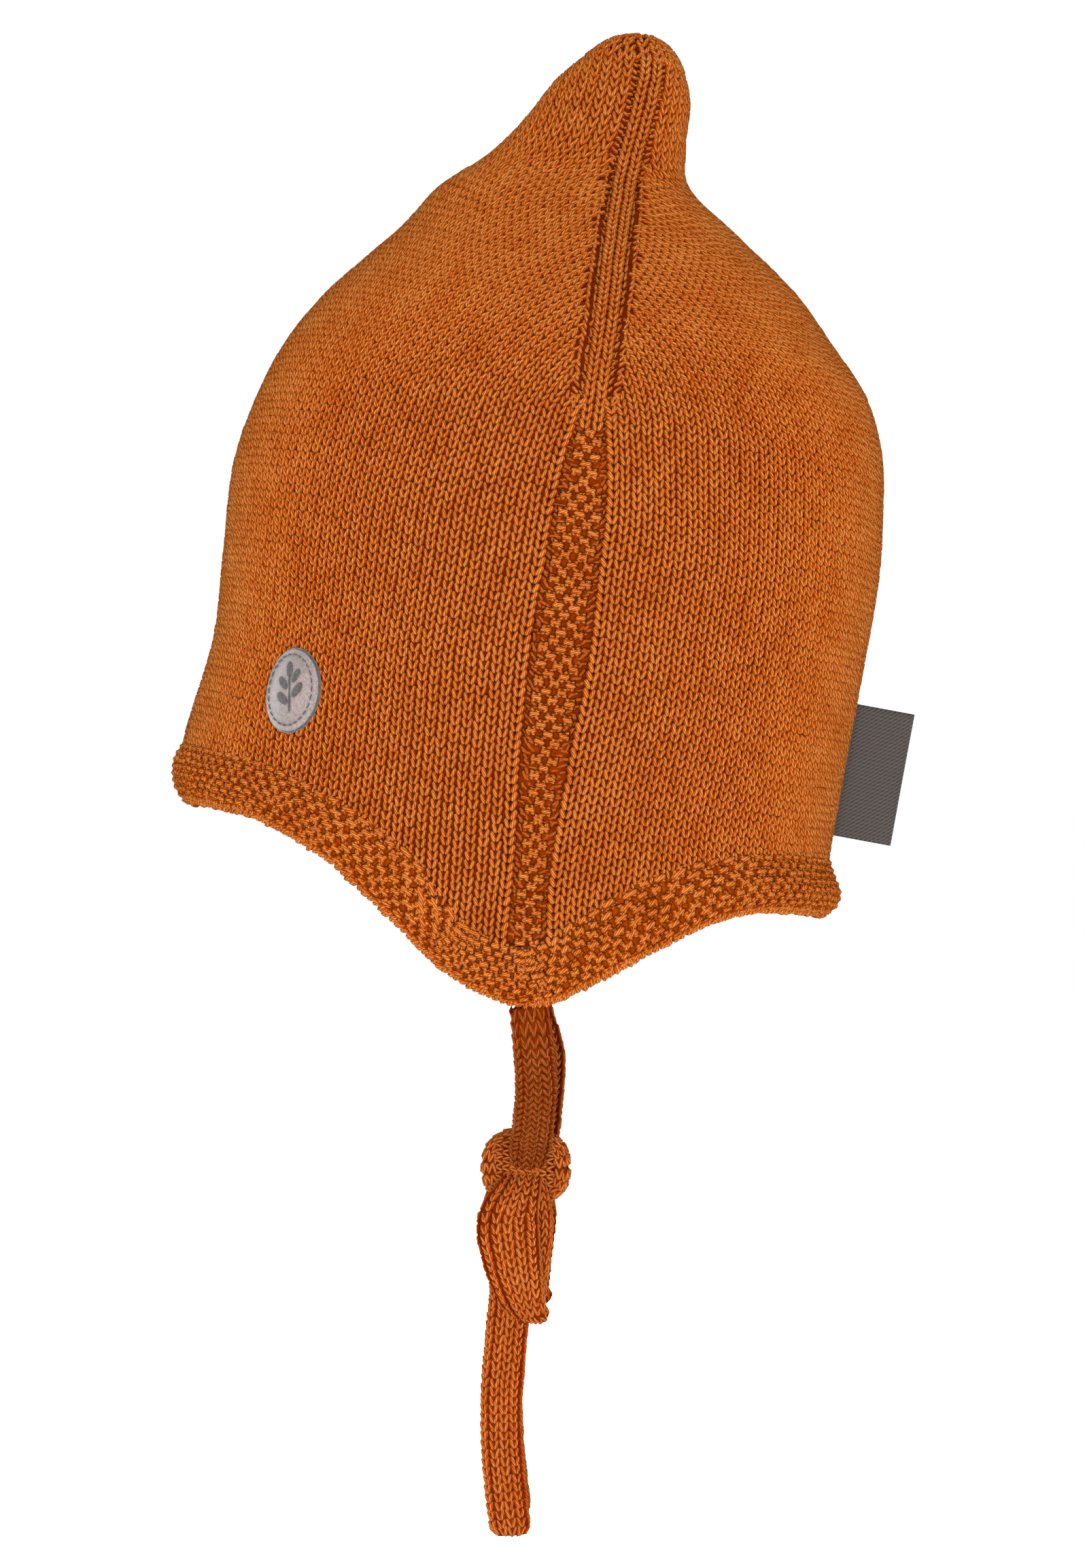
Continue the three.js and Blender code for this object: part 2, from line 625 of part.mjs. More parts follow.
const cap = new THREE.Group();
cap.add(hat, ties);

export default cap;
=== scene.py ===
"""Looks of the baby's knitted cap: every stitch of the crown, bands, border and ties, and the trim."""
import math

import bmesh
import bpy
import numpy as np
from mathutils import Matrix, Vector


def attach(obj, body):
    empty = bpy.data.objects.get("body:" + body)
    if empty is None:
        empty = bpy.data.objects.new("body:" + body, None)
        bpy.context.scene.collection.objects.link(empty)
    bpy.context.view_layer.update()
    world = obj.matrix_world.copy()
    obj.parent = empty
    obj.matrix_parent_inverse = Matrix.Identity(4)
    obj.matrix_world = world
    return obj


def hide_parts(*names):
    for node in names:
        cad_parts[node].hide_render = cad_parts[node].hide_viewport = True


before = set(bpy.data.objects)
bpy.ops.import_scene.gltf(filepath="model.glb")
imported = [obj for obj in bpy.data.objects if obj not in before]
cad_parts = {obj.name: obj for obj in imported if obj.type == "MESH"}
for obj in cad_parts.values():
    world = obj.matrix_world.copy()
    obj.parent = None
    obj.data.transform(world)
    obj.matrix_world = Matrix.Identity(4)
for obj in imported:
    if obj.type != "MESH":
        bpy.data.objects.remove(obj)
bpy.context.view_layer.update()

MM = 0.001
QUARTER = math.pi / 2

# The camera looks level from the wearer's left. The photograph's long side is its height.
CAMERA_PLACE = (0.800, -0.0065, -0.1201)
SENSOR = 36.0
VIEW_HEIGHT = 0.3583  # seen at the hat's middle


def place_camera():
    """Puts the camera where the photograph was taken."""
    lens = bpy.data.cameras.new("camera")
    lens.sensor_width = SENSOR
    lens.lens = SENSOR * CAMERA_PLACE[0] / VIEW_HEIGHT
    camera = bpy.data.objects.new("camera", lens)
    camera.location = CAMERA_PLACE
    camera.rotation_euler = (QUARTER, 0, QUARTER)
    bpy.context.scene.collection.objects.link(camera)
    bpy.context.scene.camera = camera


place_camera()

# The hat's own level frame in millimetres, before it leans back as worn.
SEAT_HEIGHT = 137.8  # of the mount, above the rim
AXIS_BEHIND = 7.3  # the hat's axis runs this far behind the mount
LEAN = math.radians(10.5)
KNIT_WALL = 2.0
HEM_WIDTH = 12.2
HEM_WALL = 2.6
HEM_STEP = 0.02  # half of the short turn over which the lower edge's slope is measured
HEM_STEEPEST = 1.45  # the most that its slope stretches the border upwards
LEAST_REACH = 6  # keeps angles finite at the tip
BAND_TOP = 160.0
BAND_SUNK = 1.1
EDGE_LEVEL = 12.0  # wales are measured from here, and the grounds' slots run straight down below
STITCH_TOP = 190.2  # no mapped stitch lies higher
# The folds on both sides of the rib: how deep, and the levels between which they deepen and fade.
FOLD = {"depth": 1.0, "starts": 150.0, "full": 161.0, "fades": 180.0, "ends": 188.0}
HANDS = ((1, "left"), (-1, "right"))

# Level sections: height above the rim, reach to front and back, half width, widest point behind the axis.
LEVEL, FRONT, BACK, SIDE, EAR = np.array([
    (-32.0, 75.0, 76.0, 56.5, 14.0),
    (-15.0, 74.8, 75.8, 62.0, 11.0),
    (0.0, 74.7, 75.8, 65.0, 9.4),
    (18.0, 73.5, 75.2, 66.8, 8.0),
    (38.0, 71.4, 75.1, 67.8, 7.0),
    (58.0, 72.8, 75.1, 67.8, 6.2),
    (77.0, 74.1, 74.9, 67.2, 5.4),
    (92.0, 72.0, 73.2, 65.0, 4.6),
    (106.0, 67.8, 70.4, 60.5, 4.0),
    (118.0, 61.4, 64.6, 54.0, 3.6),
    (128.0, 53.8, 55.2, 46.5, 3.0),
    (138.0, 46.0, 45.0, 37.5, 2.4),
    (148.0, 39.8, 30.5, 27.5, 2.0),
    (157.5, 29.9, 16.6, 19.5, 1.9),
    (167.5, 23.0, 13.6, 15.5, 2.6),
    (177.5, 17.6, 12.8, 12.5, 3.1),
    (184.5, 11.6, 9.8, 9.2, 2.6),
    (189.0, 6.4, 5.6, 5.4, 1.4),
    (191.0, 0.2, 0.2, 0.2, 0.8),
]).T

# The lower edge: degrees round from the front centre, and height above the rim.
HEM_ROUND, HEM_HEIGHT = np.array([
    (0, 0.3), (38, 0.2), (48, -1.8), (57, -5.6), (63, -10.0), (70, -16.4), (76, -22.8), (81, -26.6),
    (88, -29.0), (94, -27.6), (100, -23.7), (108, -17.6), (116, -11.3), (126, -4.4), (137, -0.2),
    (158, 1.2), (180, 0.8),
]).T

# Half width of a side band at each height, and how far the border swells at the brow and the nape.
BAND_LEVEL, BAND_HALF = np.array([
    (12, 4.4), (40, 6.0), (70, 6.2), (88, 4.6), (98, 3.1), (138, 3.0), (160, 2.7),
]).T
SWELL_UP, SWELL_BROW, SWELL_NAPE = np.array([
    (0, -3.0, 1.2), (2.4, -0.6, 3.4), (5.6, 0.8, 3.8), (9.0, 1.1, 2.0), (12.2, 0.3, 0.5),
]).T


def smooth(xs, ys, at):
    """Value on a smooth curve through the rows of a table, held level past its ends."""
    at = np.clip(at, xs[0], xs[-1])
    row = np.clip(np.searchsorted(xs, at, side="right") - 1, 0, len(xs) - 2)
    number = np.arange(len(xs))
    before, after = np.maximum(number - 1, 0), np.minimum(number + 1, len(xs) - 1)
    slope = (ys[after] - ys[before]) / (xs[after] - xs[before])
    span = xs[row + 1] - xs[row]
    t = (at - xs[row]) / span
    ease = t * t * (3 - 2 * t)
    rise = t * (1 - t) ** 2 * slope[row] - t * t * (1 - t) * slope[row + 1]
    return ys[row] * (1 - ease) + ys[row + 1] * ease + rise * span


def step_between(value, low, high):
    """0 below low, 1 above high, and a smooth rise between."""
    t = np.clip((value - low) / (high - low), 0, 1)
    return t * t * (3 - 2 * t)


def unit(vectors):
    """Vectors of length 1."""
    return vectors / np.maximum(np.linalg.norm(vectors, axis=-1, keepdims=True), 1e-9)


def lengths_along(points):
    """Length of a line from its first point up to each of its points."""
    return np.concatenate([[0], np.cumsum(np.linalg.norm(np.diff(points, axis=0), axis=1))])


def reach_at(cos, height):
    """Reach from the widest point to the front or the back."""
    ear = smooth(LEVEL, EAR, height)
    return np.where(cos > 0, smooth(LEVEL, FRONT, height) + ear, smooth(LEVEL, BACK, height) - ear)


def level_point(angle, height):
    """A point of the upright hat. Angle 0 is the front centre and a quarter turn is the left ear."""
    cos = np.cos(angle)
    return np.stack([
        smooth(LEVEL, SIDE, height) * np.sin(angle),
        AXIS_BEHIND + smooth(LEVEL, EAR, height) - reach_at(cos, height) * cos,
        height - SEAT_HEIGHT,
    ], axis=-1)


def lean_back(x, y, z):
    """Turns points of the upright hat to the way it is worn."""
    cos, sin = math.cos(LEAN), math.sin(LEAN)
    return np.stack([x, y * cos + z * sin, z * cos - y * sin], axis=-1)


def hat_point(angle, height, out=0.0):
    """A point of the hat as worn, in millimetres, a little way out from its surface."""
    angle, height, out = np.broadcast_arrays(*np.atleast_1d(angle, height, out))
    across = level_point(angle + 0.01, height) - level_point(angle - 0.01, height)
    rise = level_point(angle, np.minimum(height + 0.5, LEVEL[-1]))
    rise = rise - level_point(angle, np.maximum(height - 0.5, LEVEL[0]))
    point = level_point(angle, height) + unit(np.cross(across, rise)) * out[..., None]
    return lean_back(*np.moveaxis(point, -1, 0))


def side_climb(heights):
    """Length of the line up the hat's side, to each of some heights."""
    return lengths_along(np.stack([heights, smooth(LEVEL, SIDE, heights)], axis=-1))


def hem_height(angle):
    """Height of the lower edge."""
    degrees = np.degrees(np.mod(angle, 2 * math.pi))
    return smooth(HEM_ROUND, HEM_HEIGHT, np.where(degrees > 180, 360 - degrees, degrees))


def hem_slope(angle):
    """Height of the lower edge, and the run, rise and foreshortened run of a short step round it."""
    low = hem_height(angle)
    run = np.linalg.norm(level_point(angle + HEM_STEP, low) - level_point(angle - HEM_STEP, low), axis=-1)
    rise = hem_height(angle + HEM_STEP) - hem_height(angle - HEM_STEP)
    return low, run, rise, np.sqrt(np.maximum(run * run - rise * rise, 1e-6))


def above_hem(angle, up):
    """Height of a line that runs some way above the lower edge, measured square to that edge."""
    low, _, rise, level = hem_slope(angle)
    return low + up * np.minimum(np.hypot(1, rise / level), HEM_STEEPEST)


def band_angle(height, facing, margin=0.0):
    """Angle from the ear line to the band's edge, towards the front (1) or the back (-1)."""
    reach = np.maximum(reach_at(facing * np.ones_like(height), height), LEAST_REACH)
    return (smooth(BAND_LEVEL, BAND_HALF, height) + margin) / reach


def swell(angle, up):
    """How far the border stands out."""
    nape = (1 - np.cos(angle)) / 2
    return smooth(SWELL_UP, SWELL_BROW, up) * (1 - nape) + smooth(SWELL_UP, SWELL_NAPE, up) * nape


def fold_depth(height):
    """Depth of the folds that go on from the bands' edges up the peak."""
    rise = step_between(height, FOLD["starts"], FOLD["full"])
    return FOLD["depth"] * rise * (1 - step_between(height, FOLD["fades"], FOLD["ends"]))


def finish_piece(name, mesh, materials, stands_for=()):
    """Links a mesh as a piece of the part."""
    for material in materials:
        mesh.materials.append(material)
    piece = bpy.data.objects.new(name, mesh)
    bpy.context.scene.collection.objects.link(piece)
    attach(piece, "root")
    if stands_for:
        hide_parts(*stands_for)
    return piece


def mapped_grid(across, up, place, drop=None):
    """A grid whose corners go where place(u, v) says in millimetres, for u and v from 0 to 1."""
    bm = bmesh.new()
    bm.loops.layers.uv.new("pattern")
    bmesh.ops.create_grid(bm, x_segments=across, y_segments=up, size=0.5, calc_uvs=True)
    if drop:
        centres = np.array([face.calc_center_median()[:2] for face in bm.faces]) + 0.5
        gone = drop(centres[:, 0], centres[:, 1])
        faces = [face for face, out in zip(bm.faces, gone) if out]
        bmesh.ops.delete(bm, geom=faces, context="FACES")
    flat = np.array([vert.co[:2] for vert in bm.verts]) + 0.5
    move_corners(bm, place(flat[:, 0], flat[:, 1]))
    bmesh.ops.remove_doubles(bm, verts=bm.verts, dist=0.02 * MM)
    return bm


def move_corners(bm, points):
    """Puts the corners of a bmesh at points in millimetres."""
    for vert, point in zip(bm.verts, points * MM):
        vert.co = point


def mesh_from(bm, name):
    """Turns a bmesh into a mesh with smooth faces."""
    for face in bm.faces:
        face.smooth = True
    mesh = bpy.data.meshes.new(name)
    bm.to_mesh(mesh)
    bm.free()
    return mesh


def finish_shell(name, bm, materials, stands_for=(), wall=0.0):
    """Links a bmesh as a piece. Its wall goes inwards, and the inner face takes the last material."""
    piece = finish_piece(name, mesh_from(bm, name), materials, stands_for)
    if wall:
        solid = piece.modifiers.new("wall", "SOLIDIFY")
        solid.thickness = wall * MM
        solid.offset = -1
        solid.material_offset = len(materials) - 1
        solid.material_offset_rim = 0


# Yarn. A strand is a small closed spindle, and a knitted stitch shows two of them as a V.


class Grain:
    """One spindle along Y: its corners and faces, and for each corner how far it is round and along.

    Half way round is the ridge that faces out, so the seam of that map is hidden behind it.
    """

    def __init__(self, round_steps, long_steps):
        bm = bmesh.new()
        bmesh.ops.create_uvsphere(bm, u_segments=round_steps, v_segments=long_steps, radius=0.5)
        bmesh.ops.rotate(bm, verts=bm.verts, matrix=Matrix.Rotation(-QUARTER, 3, "X"))
        spin = min((math.atan2(*vert.co.xz) for vert in bm.verts if abs(vert.co.y) < 0.4), key=abs)
        bmesh.ops.rotate(bm, verts=bm.verts, matrix=Matrix.Rotation(-spin, 3, "Y"))
        bmesh.ops.triangulate(bm, faces=bm.faces)
        bmesh.ops.recalc_face_normals(bm, faces=bm.faces)
        self.points = np.array([vert.co[:] for vert in bm.verts])
        self.points[:, 0] *= 0.5 / self.points[:, 0].max()
        self.points[:, 2] *= 0.5 / self.points[:, 2].max()
        self.faces = np.array([[vert.index for vert in face.verts] for face in bm.faces])
        bm.free()
        corner = self.points[self.faces]
        middle = corner.mean(axis=1)
        toward = np.arctan2(middle[:, 0], middle[:, 2])[:, None]
        turn = np.arctan2(corner[..., 0], corner[..., 2]) - toward
        turn = toward + (turn + math.pi) % (2 * math.pi) - math.pi
        pole = np.hypot(corner[..., 0], corner[..., 2]) < 1e-4
        turn = np.where(pole, toward, turn)
        self.strand = np.stack([0.5 + turn / (2 * math.pi), 0.5 + corner[..., 1]], axis=-1)


class Yarn:
    """Gathers strands and joins them into one mesh."""

    def __init__(self, seed):
        self.random = np.random.default_rng(seed)
        self.points, self.faces, self.strand, self.spread = [], [], [], []
        self.count = 0

    def stray(self, like, far):
        """A random distance for every strand, mostly less than far."""
        return far * self.random.normal(size=np.shape(like))

    def vary(self, like, share):
        """1, more or less, for every strand."""
        return 1 + share * self.random.normal(size=np.shape(like)).clip(-2, 2)

    def lay(self, grain, place, across, along, tilt, size, dive, lift=0.0):
        """Lays one strand at each place of a mapped surface."""
        at = frames_of(place, across, along)
        self.add(grain, at, (across, along), (0, 0), tilt, size, dive, lift=lift)

    def add(self, grain, at, where, centre, tilt, size, dive, bow=0.0, lift=0.0):
        """Lays one strand at each place. at holds points and their across, along and out directions."""
        point, across, along, out = at
        count = len(point)
        if not count:
            return
        column = lambda value: np.broadcast_to(np.asarray(value, float), (count,))[:, None]
        width, length, thick = map(column, size)
        gx, gy, gz = grain.points.T
        ends = (2 * gy) ** 2
        x = gx * width + column(bow) * (1 - ends)
        y = gy * length
        z = gz * thick - column(dive) * ends + column(lift)
        cos, sin = np.cos(column(tilt)), np.sin(column(tilt))
        fx = column(centre[0]) + x * cos + y * sin
        fy = column(centre[1]) - x * sin + y * cos
        placed = point[:, None] + across[:, None] * fx[..., None]
        placed = placed + along[:, None] * fy[..., None] + out[:, None] * z[..., None]
        corners = len(grain.points)
        first = self.count + corners * np.arange(count)
        self.points.append(placed.reshape(-1, 3))
        self.faces.append((first[:, None, None] + grain.faces).reshape(-1, 3))
        number = self.random.integers(0, 64, count)
        strand = np.broadcast_to(grain.strand, (count,) + grain.strand.shape).copy()
        strand[..., 1] = strand[..., 1] * 0.98 + 0.01 + number[:, None, None]
        self.strand.append(strand.reshape(-1, 2))
        spot = np.stack([where[0][:, None] + fx, where[1][:, None] + fy], axis=-1)
        self.spread.append(spot.reshape(-1, 2))
        self.count += corners * count

    def finish(self, name, material, slot):
        """Links all strands as one piece, with a map for their pattern and a flat one of where they lie."""
        points = np.concatenate(self.points) * MM
        faces = np.concatenate(self.faces)
        mesh = bpy.data.meshes.new(name)
        mesh.vertices.add(len(points))
        mesh.vertices.foreach_set("co", points.ravel())
        mesh.loops.add(faces.size)
        mesh.loops.foreach_set("vertex_index", faces.ravel().astype(np.int32))
        mesh.polygons.add(len(faces))
        mesh.polygons.foreach_set("loop_start", np.arange(0, faces.size, 3, dtype=np.int32))
        spread = np.concatenate(self.spread)
        low, high = spread.min(axis=0), spread.max(axis=0)
        flat = 0.01 + 0.98 * (spread - low) / np.maximum(high - low, 1e-6)
        mesh.uv_layers.new(name="OFBake").uv.foreach_set("vector", flat[faces.ravel()].ravel())
        mesh.uv_layers.new(name="strand").uv.foreach_set("vector", np.concatenate(self.strand).ravel())
        mesh.update(calc_edges=True)
        mesh.polygons.foreach_set("use_smooth", np.ones(len(faces), bool))
        mesh.validate()
        finish_piece(name, mesh, [material])


LEG = Grain(4, 3)
BUMP = Grain(6, 4)
LEG_TILT = math.radians(18)
FINE_STEP = 0.25  # half of the short step that shows which way a surface runs
HALF_STEP = 0.4  # half of the short step over which its stretch and bend are measured


def frames_of(place, across, along):
    """Points of a mapped surface with their across, along and outward directions."""
    point = place(across, along, 0.0)
    up = unit(place(across, along + FINE_STEP, 0.0) - place(across, along - FINE_STEP, 0.0))
    out = place(across, along, 1.0) - point
    out = unit(out - up * np.sum(out * up, axis=-1, keepdims=True))
    return point, np.cross(up, out), up, out


def steps_of(place, across, along, out=0.0):
    """Two short steps over a mapped surface, one across it and one along it."""
    beside = place(across + HALF_STEP, along, out) - place(across - HALF_STEP, along, out)
    return beside, place(across, along + HALF_STEP, out) - place(across, along - HALF_STEP, out)


def stretch_of(place, across, along, most=1.7):
    """How much longer than their map steps across and steps along a surface are."""
    lengths = (np.linalg.norm(step, axis=-1) for step in steps_of(place, across, along))
    return [np.clip(length / (2 * HALF_STEP), 0.65, most) for length in lengths]


def bend_of(place, across, along):
    """How sharply a surface bends away ahead and behind, in radians a millimetre."""
    ahead, behind = place(across, along + HALF_STEP, 0.0), place(across, along - HALF_STEP, 0.0)
    turn = unit(place(across, along + HALF_STEP, 1.0) - ahead)
    turn = turn - unit(place(across, along - HALF_STEP, 1.0) - behind)
    return np.clip(np.sum(turn * unit(ahead - behind), axis=-1) / (2 * HALF_STEP), 0, 0.5)


def knit_stitches(
    yarn, place, across, along, wale, course, lift=0.0, points_down=True, rope=0, tight=0.0, bend=0.0,
):
    """Plain knit: a V of two strands at each place. The strand on the side of a rope stands out.

    wale, course, tight and bend may be one number or one for each place. Tight stitches leave
    smaller gaps, and the ends of strands drop where the surface bends.
    """
    jitter = 0.022 * wale
    across = across + yarn.stray(across, jitter)
    along = along + yarn.stray(along, jitter)
    at = frames_of(place, across, along)
    raised = lift + yarn.stray(across, 0.05)
    for hand in (-1, 1):
        grow = 1.25 if hand == rope else 1.0
        lean = hand * LEG_TILT * grow**1.5 * yarn.vary(across, 0.12) * (1 if points_down else -1)
        size = (
            (0.44 + 0.05 * tight) * wale * grow * yarn.vary(across, 0.06),
            (1.7 + 0.1 * tight) * course * yarn.vary(across, 0.04),
            0.52 * wale * grow,
        )
        dive = (0.37 - 0.1 * tight) * wale + bend * size[1] ** 2 / 8
        yarn.add(LEG, at, (across, along), (hand * 0.225 * wale * grow, 0), lean, size, dive,
                 bow=hand * 0.03 * wale, lift=raised - 0.06 * wale + 0.6 * (grow - 1))


# The crown's front and back panels, laid out by width from their centre line and by climb.
WALE = 2.48
COURSE = 1.83
PEAK_STRETCH = 0.32  # the courses of the peak are further apart by this share
STRETCHES = (110, 160)  # they spread between these levels
PEAK_TURN = (148, 172)  # the wales turn between these levels, to run up beside the groove
LOOSENS = (92, 112)  # the knit gets looser up the dome,
TIGHTENS = (140, 160)  # and is tight on the peak
SAG = 4.2  # courses hang lower towards the bands
CHAIN_TOP = 97.0  # the wales follow the band's edge up to here, and run into it above
TIP_FOOT = 184.6  # the wales end here, where rings close the tip
HALF_WIDTHS = np.arange(0, 125, 0.5)


def between(table, rows, columns, row, column):
    """Value of a table between its rows and columns."""
    i = np.clip((row - rows[0]) / (rows[1] - rows[0]), 0, len(rows) - 1.001)
    j = np.clip((column - columns[0]) / (columns[1] - columns[0]), 0, len(columns) - 1.001)
    a, b = i.astype(int), j.astype(int)
    s, t = i - a, j - b
    low = table[a, b] * (1 - t) + table[a, b + 1] * t
    high = table[a + 1, b] * (1 - t) + table[a + 1, b + 1] * t
    return low * (1 - s) + high * s


class Panel:
    """Where the stitches of the front (1) or the back (-1) of the crown lie."""

    def __init__(self, facing):
        self.facing = facing
        self.heights = np.arange(LEVEL[0], STITCH_TOP, 0.5)
        turn = np.linspace(0, QUARTER, 181)
        edge = QUARTER - band_angle(self.heights, facing)
        self.turns = np.empty((len(self.heights), len(HALF_WIDTHS)))
        self.edges = np.empty(len(self.heights))
        for row, height in enumerate(self.heights):
            line = level_point(turn if facing > 0 else math.pi - turn, np.full(turn.shape, height))
            arc = lengths_along(line)
            self.turns[row] = np.interp(HALF_WIDTHS, arc, turn)
            self.edges[row] = np.interp(edge[row], turn, arc)
        full = self.edge_at(CHAIN_TOP)
        self.fit = np.where(self.heights < CHAIN_TOP, self.edges / full, 1.0)
        narrows = -np.diff(self.edges) * step_between(self.heights[1:], *PEAK_TURN)
        self.drift = np.concatenate([[0], np.cumsum(narrows)])
        self.chain = full - 0.52 * WALE
        self.wales = int((full - WALE) / WALE)
        self.stretch = 1 + PEAK_STRETCH * step_between(self.heights, *STRETCHES)
        self.climbs = self.climb_table()
        self.courses = np.arange(self.climbs.min(), self.climbs.max(), COURSE)
        self.levels = np.array([np.interp(self.courses, climb, self.heights) for climb in self.climbs.T]).T

    def climb_table(self):
        """Length of the wale at every width from the lowest level up to every height."""
        rows, columns = np.meshgrid(self.heights, HALF_WIDTHS, indexing="ij")
        point = level_point(self.angle_at(columns, rows), rows)
        rise = np.linalg.norm(np.diff(point, axis=0), axis=-1) / self.stretch[1:, None]
        climb = np.concatenate([np.zeros((1, len(HALF_WIDTHS))), np.cumsum(rise, axis=0)])
        return climb - climb[int(np.argmin(np.abs(self.heights - EDGE_LEVEL)))]

    def edge_at(self, height):
        """Width from the centre line to the band's edge."""
        return np.interp(height, self.heights, self.edges)

    def width_at(self, across, height):
        """Level width from the centre line to a point of the panel. Below 0 its wale has ended."""
        fit, drift = (np.interp(height, self.heights, table) for table in (self.fit, self.drift))
        return np.abs(across) * fit - drift

    def height_at(self, across, along):
        """Height above the rim of a point of the panel."""
        climb = along - SAG * (across / 100) ** 2
        return between(self.levels, self.courses, HALF_WIDTHS, climb, np.abs(across))

    def along_at(self, across, height):
        """Climb of a point of the panel whose height is known."""
        climb = between(self.climbs, self.heights, HALF_WIDTHS, height, np.abs(across))
        return climb + SAG * (across / 100) ** 2

    def angle_at(self, across, height):
        """Angle round the hat of a point of the panel."""
        width = np.maximum(self.width_at(across, height), 0)
        turn = np.sign(across) * between(self.turns, self.heights, HALF_WIDTHS, height, width)
        return turn if self.facing > 0 else math.pi - turn

    def place(self, across, along, out):
        """A point of the panel."""
        across, along, out = np.broadcast_arrays(across, along, out)
        wander = 0.28 * np.sin(along / 13 + across / 37) + 0.16 * np.sin(along / 5.3 - across / 11)
        across = across + wander * np.minimum(np.abs(across) / 10, 1)
        along = along + 0.22 * np.sin(across / 9.1 + along / 29) + 0.12 * np.sin(across / 3.7)
        height = self.height_at(across, along)
        gap = self.edge_at(height) - self.width_at(across, height)
        sunk = (fold_depth(height) + 0.5 * (height > CHAIN_TOP)) * np.exp(-(np.maximum(gap, 0) / 1.3) ** 2)
        return hat_point(self.angle_at(across, height), height, out - sunk)


def panel_yarn(panel, side, seed):
    """The stitches of half a panel, on the wearer's left (1) or right (-1)."""
    yarn = Yarn(seed)
    pitch = panel.chain / (panel.wales + 0.5)
    wales = side * pitch * (np.arange(panel.wales) + 0.5)
    across, along = map(np.ravel, np.meshgrid(wales, panel.courses))
    height = panel.height_at(across, along)
    angle = panel.angle_at(across, height)
    kept = (height > above_hem(angle, HEM_WIDTH - 2.0)) & (height < TIP_FOOT)
    width = panel.width_at(across, height)
    kept &= (width > 0.2 * pitch) & ((height < CHAIN_TOP) | (width < panel.edge_at(height) - 1.8))
    across, along, height = across[kept], along[kept], height[kept]
    course = COURSE * np.interp(height, panel.heights, panel.stretch)
    tight = step_between(height, *TIGHTENS) - 0.3 * step_between(height, *LOOSENS)
    knit_stitches(yarn, panel.place, across, along, pitch, course, tight=tight)

    # The wale beside the band is a raised chain.
    along = panel.courses
    across = np.full(along.shape, side * panel.chain)
    height = panel.height_at(across, along)
    low = above_hem(panel.angle_at(across, height), HEM_WIDTH - 1.5)
    kept = (height > low) & (height < CHAIN_TOP + 4)
    knit_stitches(yarn, panel.place, across[kept], along[kept], pitch, COURSE, 0.25, rope=side * panel.facing)

    # One more wale covers the panel's middle, where the peak's wales run out. The left half has it.
    if side > 0:
        height = panel.height_at(np.zeros(along.shape), along)
        along = along[(height > PEAK_TURN[0] + 2) & (height < TIP_FOOT)]
        across = np.zeros(along.shape)
        knit_stitches(yarn, panel.place, across, along, 1.25 * pitch, 1.1 * COURSE, -0.15, tight=1.0)

    # Above the chain the wales end at the groove in short level strands.
    for depth, step, reach in ((0.0, 1.5, 1.5), (-0.8, 2.1, 0.0)):
        height = np.arange(CHAIN_TOP, TIP_FOOT, step)
        across = side * (panel.edge_at(height) - reach + np.interp(height, panel.heights, panel.drift))
        along = panel.along_at(across, height)
        tilt = side * panel.facing * (QUARTER + 0.5 + yarn.stray(along, 0.2))
        size = (1.0 * yarn.vary(along, 0.12), 2.9 * yarn.vary(along, 0.15), 0.95)
        yarn.lay(LEG, panel.place, across, along, tilt, size, 0.7, depth + yarn.stray(along, 0.12))
    return yarn


# Side bands: pearl stitch below and a rib of two wales above, which goes on up the peak.
PEARL_WALE = 1.74
PEARL_COURSE = 1.80
RIB_FOOT = 95.0
RIB_WALE = 2.6
RIB_TOP = 185.0
BAND_RISES = (140, 172)  # between these levels the rib comes up to the crown's face
FLAP_LAP = 1.2  # how far the band runs down behind the border's top row

# The rungs beside the pearl stitch: how far in from the band's edge, and how high in their row.
RUNG_INSET, RUNG_RISE = np.array([(0.6, 0.1), (1.4, 0.6), (2.3, 0.15)]).T


def band_sunk(height):
    """How far the band lies below the crown's face."""
    return BAND_SUNK * (1 - 0.75 * step_between(height, *BAND_RISES))


def band_foot():
    """Height where a band meets the border."""
    return above_hem(QUARTER, HEM_WIDTH) + 0.4


class Band:
    """Where the stitches of the band at one ear lie: across towards the back, and by climb."""

    def __init__(self, side):
        self.side = side
        self.heights = np.arange(-20, STITCH_TOP, 0.5)
        self.climbs = side_climb(self.heights)

    def rows(self, low, high, step):
        """Climbs of evenly spaced rows between two heights."""
        first, last = np.interp((low, high), self.heights, self.climbs)
        return np.arange(first, last, step)

    def half_at(self, along):
        """Half the band's width."""
        return smooth(BAND_LEVEL, BAND_HALF, np.interp(along, self.climbs, self.heights))

    def place(self, across, along, out):
        """A point of the band."""
        across, along, out = np.broadcast_arrays(across, along, out)
        height = np.interp(along, self.climbs, self.heights)
        reach = np.maximum(reach_at(-np.sign(across), height), LEAST_REACH)
        return hat_point(self.side * (QUARTER + across / reach), height, out - band_sunk(height))


def rib_stitches(yarn, band, low, high):
    """Two wales of plain knit between two heights, with a line of short strands at each side."""
    along = band.rows(low, high, COURSE)
    for across in (-0.5, 0.5):
        wale = np.full(along.shape, across * RIB_WALE)
        knit_stitches(yarn, band.place, wale, along, RIB_WALE, COURSE, 0.8, tight=0.6)
    for edge in (-1, 1):
        across = edge * (band.half_at(along) - 0.1)
        tilt = QUARTER + yarn.stray(along, 0.25)
        yarn.lay(LEG, band.place, across, along, tilt, (0.8, 2.2, 0.8), 0.3, -0.55)
    return yarn


